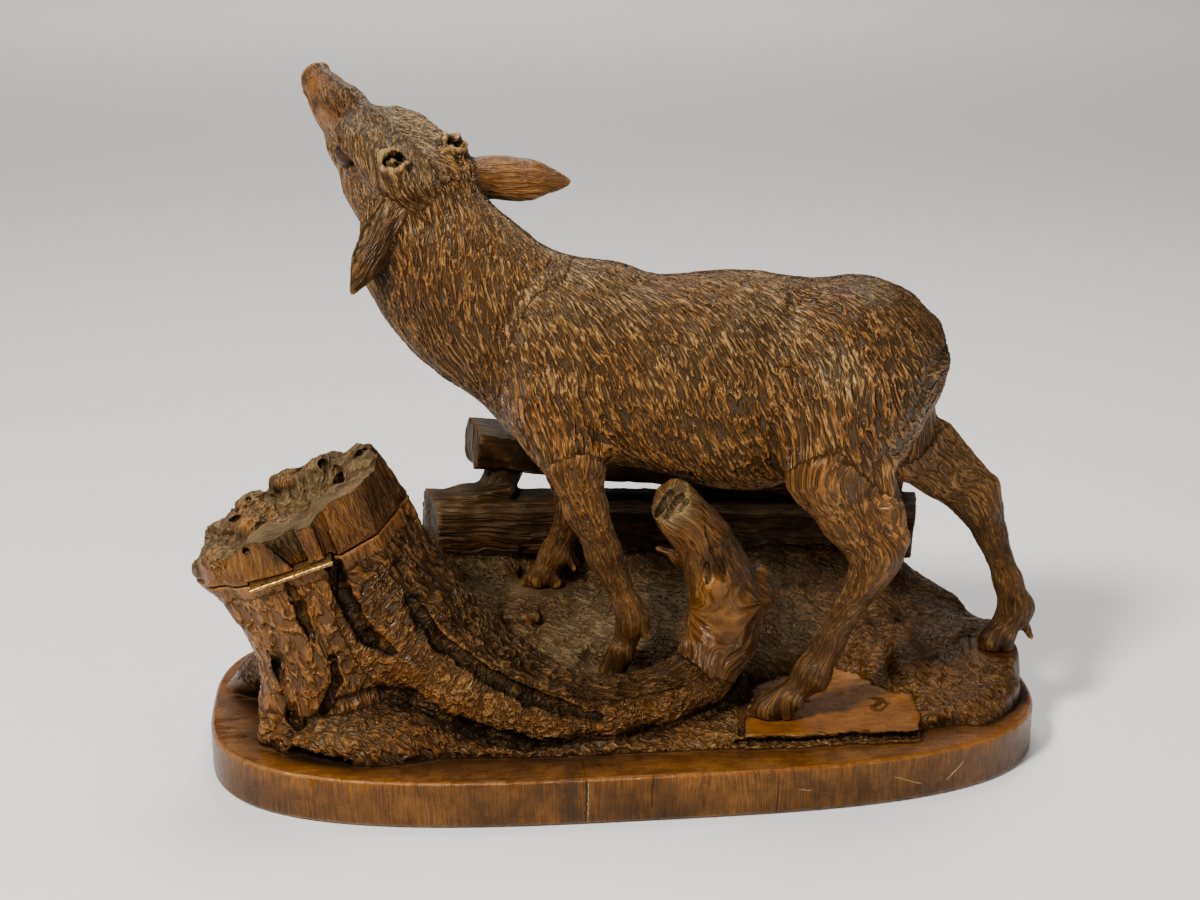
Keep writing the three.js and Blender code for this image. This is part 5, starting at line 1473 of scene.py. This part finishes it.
def carvedWood(name, look):
    n = Nodes(name)
    place = n.millimetres()
    grain = n.value("grain", "Vector")
    split = n.add("ShaderNodeSeparateXYZ")
    n.link(grain, split.inputs[0])
    carved = n.spread(split.outputs[2], 0.02, 0.7)
    hollow, shut = n.value("hollow"), n.value("shut")
    tone, dust, polish = n.value("tone"), n.value("dust"), n.value("polish")

    clouds = n.noise(place, 0.035, 4, 0.6)
    blotches = n.noise(place, 0.14, 5, 0.62)
    hairs = n.noise(n.scaled(grain, (1.4, 6.5, 0)), 1.0, 4, 0.6)
    pores = n.noise(n.scaled(grain, (5, 16, 0)), 1.0, 2, 0.5)
    speckle = n.noise(place, 2.2, 3, 0.7)
    border = n.strokes(grain)

    shade = n.plus(n.times(clouds, 0.45), n.times(blotches, 0.3))
    shade = n.plus(shade, n.times(hairs, 0.25))
    shade = n.plus(shade, n.times(tone, 0.06))
    stops = [(0.32, look["dark"]), (0.46, look["middle"]), (0.58, look["light"]), (0.72, look["pale"])]
    colour = n.ramp(shade, stops)
    warmShare = n.times(n.spread(tone, 0.0, 0.8), n.spread(blotches, 0.2, 0.6, 0.35, 0.95))
    colour = n.blend(warmShare, colour, look["warm"])
    lines = n.spread(hairs, 0.53, 0.42)
    colour = n.blend(n.times(lines, look["hairs"]), colour, look["dark"])
    # the dark end of tone: stain, and on the logs, the root's upper side, the grooves and the plate's foot,
    # painted shade
    stainAndShadeShare = n.times(n.spread(tone, 0.0, -0.9), n.spread(blotches, 0.25, 0.6, 1.0, 0.7))
    colour = n.blend(stainAndShadeShare, colour, look["stainAndShade"])
    dustShare = n.times(dust, n.spread(n.plus(speckle, blotches), 0.75, 1.1, 0.15, 0.9))
    colour = n.blend(dustShare, colour, look["dust"])

    # each cut darkened along its floor as painted shade, its border painted pale: partly wear, partly painted
    # highlight
    floor = n.times(n.spread(border, 0.2, 0.7), carved)
    colour = n.blend(n.times(floor, look["cuts"]), colour, look["grimeAndShade"])
    # painted highlight in part: the ridges between the cuts and the sharp edges are painted pale, as wear and
    # as glints
    ridge = n.times(n.spread(border, 0.22, 0.04), carved)
    ridge = n.times(ridge, n.spread(speckle, 0.3, 0.55, 0.25, 1.0))
    edge = n.math("MAXIMUM", ridge, n.spread(hollow, -0.35, -1.0, 0.0, 0.8))
    edge = n.times(edge, n.spread(polish, 0.5, 1.0, 1.0, 0.0))
    edge = n.times(edge, n.spread(stainAndShadeShare, 0.0, 1.0, 1.0, 0.5))
    # the pale ridges lighter where clouds and dust are strong, on the upward faces, orange elsewhere: partly
    # dust, partly painted highlight
    paleEdge = n.blend(n.spread(n.plus(clouds, dust), 0.42, 0.75), look["ridgeLow"], look["ridge"])
    colour = n.blend(n.times(edge, look["ridges"]), colour, paleEdge)
    # painted shade in the creases: the mesh's hollows are darkened
    colour = n.blend(n.times(n.spread(hollow, 0.25, 0.9), look["cuts"]), colour, look["grimeAndShade"])
    poreShare = n.spread(pores, 0.38, 0.28)
    colour = n.blend(n.times(poreShare, look["pores"]), colour, look["grimeAndShade"])
    # painted shade: the closed-in places, where shade would fall, are darkened towards the grime-and-shade
    # colour
    closed = n.spread(n.plus(shut, n.times(blotches, 0.3)), 0.35, 0.95)
    colour = n.blend(n.times(closed, look["hollowShade"]), colour, look["grimeAndShade"])
    # cracks and scratches, the narrow ones cut in
    incised = 0.0
    for start, end, width, paint, share in look["marks"]:
        mark = n.mark(place, start, end, width)
        colour = n.blend(n.times(mark, share), colour, look[paint])
        if width < 1:
            incised = n.math("MAXIMUM", mark, incised)
    n.link(colour, n.shader.inputs["Base Color"])

    gloss = n.spread(blotches, 0.3, 0.7, look["glossy"], look["dull"])
    gloss = n.plus(gloss, n.times(dustShare, 0.22))
    gloss = n.plus(gloss, n.times(closed, 0.2))
    gloss = n.plus(gloss, n.times(stainAndShadeShare, 0.15))
    gloss = n.math("SUBTRACT", gloss, n.times(polish, 0.25))
    n.link(n.spread(gloss, 0.1, 1.0, 0.1, 1.0), n.shader.inputs["Roughness"])
    bare = n.math("SUBTRACT", 1.0, n.times(n.math("MAXIMUM", stainAndShadeShare, closed), 0.8))
    n.link(n.times(bare, look["shine"]), n.shader.inputs["Specular IOR Level"])
    n.link(n.times(bare, look["varnish"]), n.shader.inputs["Coat Weight"])
    n.shader.inputs["Coat Roughness"].default_value = look["varnishRoughness"]
    n.shader.inputs["Specular Tint"].default_value = (*look["sheen"], 1)

    fine = n.plus(n.times(hairs, look["hairBump"]), n.times(pores, look["poreBump"]))
    fine = n.plus(fine, n.times(speckle, look["speckleBump"]))
    crest = n.times(n.spread(border, 0.9, 0.0), split.outputs[2])
    fine = n.plus(fine, n.times(crest, look["crestBump"]))
    if look["marks"]:
        fine = n.math("SUBTRACT", fine, n.times(incised, look["markDepth"]))
    bump = n.add("ShaderNodeBump")
    bump.inputs["Strength"].default_value = 1.0
    bump.inputs["Distance"].default_value = metre
    n.link(fine, bump.inputs["Height"])
    n.link(bump.outputs[0], n.shader.inputs["Normal"])
    n.link(bump.outputs[0], n.shader.inputs["Coat Normal"])
    return n.material


# What all three carved pieces share; each adds its own ridges, cuts, crestBump and shine.
woodLook = {
    "dark": (0.022, 0.008, 0.002),
    "middle": (0.080, 0.026, 0.003),
    "light": (0.14, 0.050, 0.006),
    "pale": (0.20, 0.082, 0.013),
    "warm": (0.23, 0.070, 0.005),
    "stainAndShade": (0.010, 0.005, 0.0022),
    "grimeAndShade": (0.005, 0.003, 0.0015),
    "dust": (0.10, 0.07, 0.03),
    # colours of the pale ridges and edges: worn wood, and also painted highlight
    "ridge": (0.46, 0.29, 0.11),
    "ridgeLow": (0.34, 0.135, 0.022),
    "hairs": 0.5,
    "pores": 0.4,
    "hollowShade": 0.92,
    "sheen": (1.0, 0.80, 0.52),
    "glossy": 0.2,
    "dull": 0.4,
    "varnish": 0.08,
    "varnishRoughness": 0.14,
    "hairBump": 0.22,
    "poreBump": 0.12,
    "speckleBump": 0.09,
    "marks": [],
    "markDepth": 0.5,
}


def dress(obj, material):
    obj.data.materials.clear()
    obj.data.materials.append(material)


# Building a carved piece: surface, relief, thinning, and what the shader reads.


def trianglesOf(obj):
    flat = np.empty(len(obj.data.polygons) * 3, np.int32)
    obj.data.polygons.foreach_get("vertices", flat)
    return flat.reshape(-1, 3)


def meshNormals(obj):
    flat = np.empty(len(obj.data.vertices) * 3, np.float32)
    obj.data.vertices.foreach_get("normal", flat)
    return flat.reshape(-1, 3).astype(float)


carving = {
    "cutShare": 0.75,
    "fineEdge": 1.15,
    "spreadRounds": 3,
    "hollowStrength": 3,
    "shutStrength": 1.15,
    "shutFloor": 0.12,
}


# How much longer than a fine edge the edges are round each vertex.
def coarseness(points, edges):
    a, b = edges.T
    lengths = np.tile(np.linalg.norm(points[a] - points[b], axis=1), 2)
    ends = np.concatenate([a, b])
    return np.maximum(np.bincount(ends, lengths) / np.bincount(ends) / carving["fineEdge"], 1)


def carvedPiece(name, node, body, form, relief, shape):
    points, faces = surfaceOf(form, *shape["searched"], shape["voxel"])
    points = settle(points, faces, form)
    normals = normalsOf(points, faces)
    height, u, v, depth = inParts(relief, points, normals)[:4]
    height += carving["cutShare"] * depth * gougeCuts(u, v)
    points = np.clip(points + normals * height[:, None], *pieceBox(node))
    print(name, "surface", len(faces), "faces")
    piece = thinned(name, points, faces, shape["triangles"])
    points = np.clip(pointsOf(piece), *pieceBox(node))
    piece.data.vertices.foreach_set("co", (points * metre).astype(np.float32).ravel())
    piece.data.update()
    normals = meshNormals(piece)
    _, u, v, depth, tone, dust, polish = inParts(relief, points, normals)
    edges = edgesOf(trianglesOf(piece))
    sunk = spread(points, edges, carving["spreadRounds"]) - points
    hollow = np.einsum("ij,ij->i", sunk, normals) / coarseness(points, edges) ** 2
    shut = shutIn(form, points, normals) * carving["shutStrength"] - carving["shutFloor"]
    keepValues(piece, "grain", np.column_stack([u, v, depth]))
    keepValues(piece, "hollow", np.clip(hollow * carving["hollowStrength"], -1, 1))
    keepValues(piece, "shut", np.clip(shut, 0, 1))
    keepValues(piece, "tone", tone)
    keepValues(piece, "dust", dust)
    keepValues(piece, "polish", polish)
    dress(piece, carvedWood(name + "Wood", {**woodLook, **shape["look"]}))
    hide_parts(node)
    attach(piece, body)
    print("made", name, len(piece.data.polygons), "triangles")


def pieceBox(node):
    low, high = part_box(node)
    return np.array(low) / metre, np.array(high) / metre


# The hinge: three knuckles in a row round a pin, and a thin leaf let into each side.

hingeLook = {
    "rod": 0.82,
    "sides": 32,
    "ease": 0.15,
    "knuckleGap": 0.12,
    "leafInset": 0.3,
    "leafStart": 0.5,
    "leafEase": 0.05,
    "boreEase": 0.1,
    "pinEase": 0.14,
    "pinProud": 0.1,
    "brass": (0.36, 0.20, 0.055),
    "tarnish": (0.05, 0.028, 0.012),
}


# A round bar along the hinge, from start to end, with eased ends and a bore if it has one.
def hingeTube(start, end, radius, bore=0.0):
    ease, sides = hingeLook["ease"], hingeLook["sides"]
    profile = [
        (start, bore), (start, radius - ease), (start + ease, radius),
        (end - ease, radius), (end, radius - ease), (end, bore),
    ]
    angles = np.arange(sides) * 2 * np.pi / sides
    points = np.array([
        (along, hingeShape["out"] + r * np.cos(a), r * np.sin(a)) for along, r in profile for a in angles
    ])
    quads = []
    for ring in range(len(profile)):
        after = (ring + 1) % len(profile)
        for i in range(sides):
            j = (i + 1) % sides
            quads.append((ring * sides + i, ring * sides + j, after * sides + j, after * sides + i))
    return points, np.array(quads)


# A leaf is a thin plate from the knuckles into its slot.
def hingeLeaf(start, end, side):
    h, ease = hingeShape, hingeLook["leafEase"]
    level = side * (h["leafGap"] + h["leafThickness"]) / 2
    low = np.array([start, h["out"] + hingeLook["leafStart"], level - h["leafThickness"] / 2 + ease])
    high = np.array([end, h["out"] + h["knuckle"] + h["leafDepth"], level + h["leafThickness"] / 2 - ease])
    corners = np.array([np.where(bits, high, low) for bits in np.ndindex(2, 2, 2)])
    quads = [(0, 1, 3, 2), (4, 6, 7, 5), (0, 4, 5, 1), (2, 3, 7, 6), (0, 2, 6, 4), (1, 5, 7, 3)]
    return corners, np.array(quads)


def agedBrass():
    n = Nodes("agedBrass")
    place = n.millimetres()
    spots = n.noise(place, 0.9, 4, 0.65)
    scratches = n.noise(n.scaled(place, (0.6, 6, 6)), 1.0, 3, 0.6)
    share = n.spread(n.plus(spots, n.times(scratches, 0.4)), 0.55, 0.8)
    n.link(n.blend(share, hingeLook["tarnish"], hingeLook["brass"]), n.shader.inputs["Base Color"])
    n.shader.inputs["Metallic"].default_value = 0.85
    n.link(n.spread(share, 0.0, 1.0, 0.55, 0.28), n.shader.inputs["Roughness"])
    bump = n.add("ShaderNodeBump")
    bump.inputs["Strength"].default_value = 0.15
    bump.inputs["Distance"].default_value = 0.0002
    n.link(scratches, bump.inputs["Height"])
    n.link(bump.outputs[0], n.shader.inputs["Normal"])
    return n.material


def hingePiece(name, node, body, shapes, brass):
    points, faces, count = [], [], 0
    for some, quads in shapes:
        points.append(outOfAxes(some, partingAxes))
        faces.append(quads + count)
        count += len(some)
    points = np.clip(np.concatenate(points), *pieceBox(node))
    piece = makeObject(name, points, np.concatenate(faces))
    piece.data.shade_flat()
    piece.data.set_sharp_from_angle(angle=np.radians(40))
    dress(piece, brass)
    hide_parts(node)
    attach(piece, body)
    print("made", name)


def pieceHinge():
    h, look, brass = hingeShape, hingeLook, agedBrass()
    rod, gap, inset = look["rod"], look["knuckleGap"], look["leafInset"]
    start, end = h["along"] - h["length"] / 2, h["along"] + h["length"] / 2
    third = h["length"] / 3
    bore = h["pin"] - look["boreEase"]
    hingePiece("hingeLeafLower", "hinge_leaf_lower", "stand", [
        hingeTube(start, start + third - gap, rod, bore),
        hingeTube(end - third + gap, end, rod, bore),
        hingeLeaf(start + inset, end - inset, -1),
    ], brass)
    hingePiece("hingeLeafUpper", "hinge_leaf_upper", "lid", [
        hingeTube(start + third + gap, end - third - gap, rod, bore),
        hingeLeaf(start + inset, end - inset, 1),
    ], brass)
    pin = hingeTube(start - look["pinProud"], end + look["pinProud"], h["pin"] - look["pinEase"])
    hingePiece("hingePin", "hinge_pin", "stand", [pin], brass)


pieceBase()
pieceDeer()
pieceLid()
pieceHinge()

# Floor, lights and camera

studio = {
    "azimuth": -6.09,
    "elevation": 17.37,
    "distance": 0.700,
    "target": (-0.0084, 0.0, 0.10805),
    "lens": 58.74,
    "floorColour": (0.74, 0.73, 0.71),
    "floorHalf": 6.0,
    "floorDrop": 0.0002,
    "sky": (0.86, 0.85, 0.83),
    "skyStrength": 0.16,
    # place, aim, size in metres, watts, colour
    "lights": {
        "key": ((-0.7, -0.75, 1.05), (0, 0, 0.1), 0.22, 38, (1, 0.97, 0.93)),
        "fill": ((0.72, -0.95, 0.42), (0, 0, 0.13), 0.3, 5, (1, 0.98, 0.96)),
        "top": ((0.15, 0.4, 1.2), (0, 0, 0.1), 0.5, 11, (1, 0.98, 0.96)),
        "far": ((0, 3.4, 2.2), (0, 3.9, 0), 2.5, 80, (1, 0.99, 0.97)),
    },
}


def makeFloor():
    mesh = bpy.data.meshes.new("floor")
    half = studio["floorHalf"]
    corners = [(-half, -half, 0), (half, -half, 0), (half, half, 0), (-half, half, 0)]
    mesh.from_pydata(corners, [], [(0, 1, 2, 3)])
    floor = bpy.data.objects.new("floor", mesh)
    bpy.context.scene.collection.objects.link(floor)
    floor.location.z = -studio["floorDrop"]
    n = Nodes("floorPaper")
    grit = n.noise(n.add("ShaderNodeTexCoord").outputs["Object"], 90, 4)
    colour = n.ramp(grit, [(0.3, [c * 0.97 for c in studio["floorColour"]]), (0.7, studio["floorColour"])])
    n.link(colour, n.shader.inputs["Base Color"])
    n.shader.inputs["Roughness"].default_value = 0.8
    dress(floor, n.material)


def makeLights():
    for name, (place, aim, size, watts, colour) in studio["lights"].items():
        light = bpy.data.lights.new(name, "AREA")
        light.size = size
        light.energy = watts
        light.color = colour
        lamp = bpy.data.objects.new(name, light)
        lamp.location = place
        lamp.rotation_euler = (Vector(aim) - Vector(place)).to_track_quat("-Z", "Y").to_euler()
        bpy.context.scene.collection.objects.link(lamp)
    world = bpy.data.worlds.new("studio")
    world.use_nodes = True
    background = world.node_tree.nodes["Background"]
    background.inputs[0].default_value = (*studio["sky"], 1)
    background.inputs[1].default_value = studio["skyStrength"]
    bpy.context.scene.world = world


def makeCamera():
    azimuth, elevation = np.radians([studio["azimuth"], studio["elevation"]])
    level = np.cos(elevation)
    back = Vector((np.sin(azimuth) * level, -np.cos(azimuth) * level, np.sin(elevation)))
    data = bpy.data.cameras.new("camera")
    data.lens = studio["lens"]
    data.sensor_width = 36
    data.clip_start, data.clip_end = 0.01, 30
    camera = bpy.data.objects.new("camera", data)
    camera.location = Vector(studio["target"]) + back * studio["distance"]
    camera.rotation_euler = back.to_track_quat("Z", "Y").to_euler()
    bpy.context.scene.collection.objects.link(camera)
    bpy.context.scene.camera = camera


makeFloor()
makeLights()
makeCamera()
print("stage: floor, lights and camera")
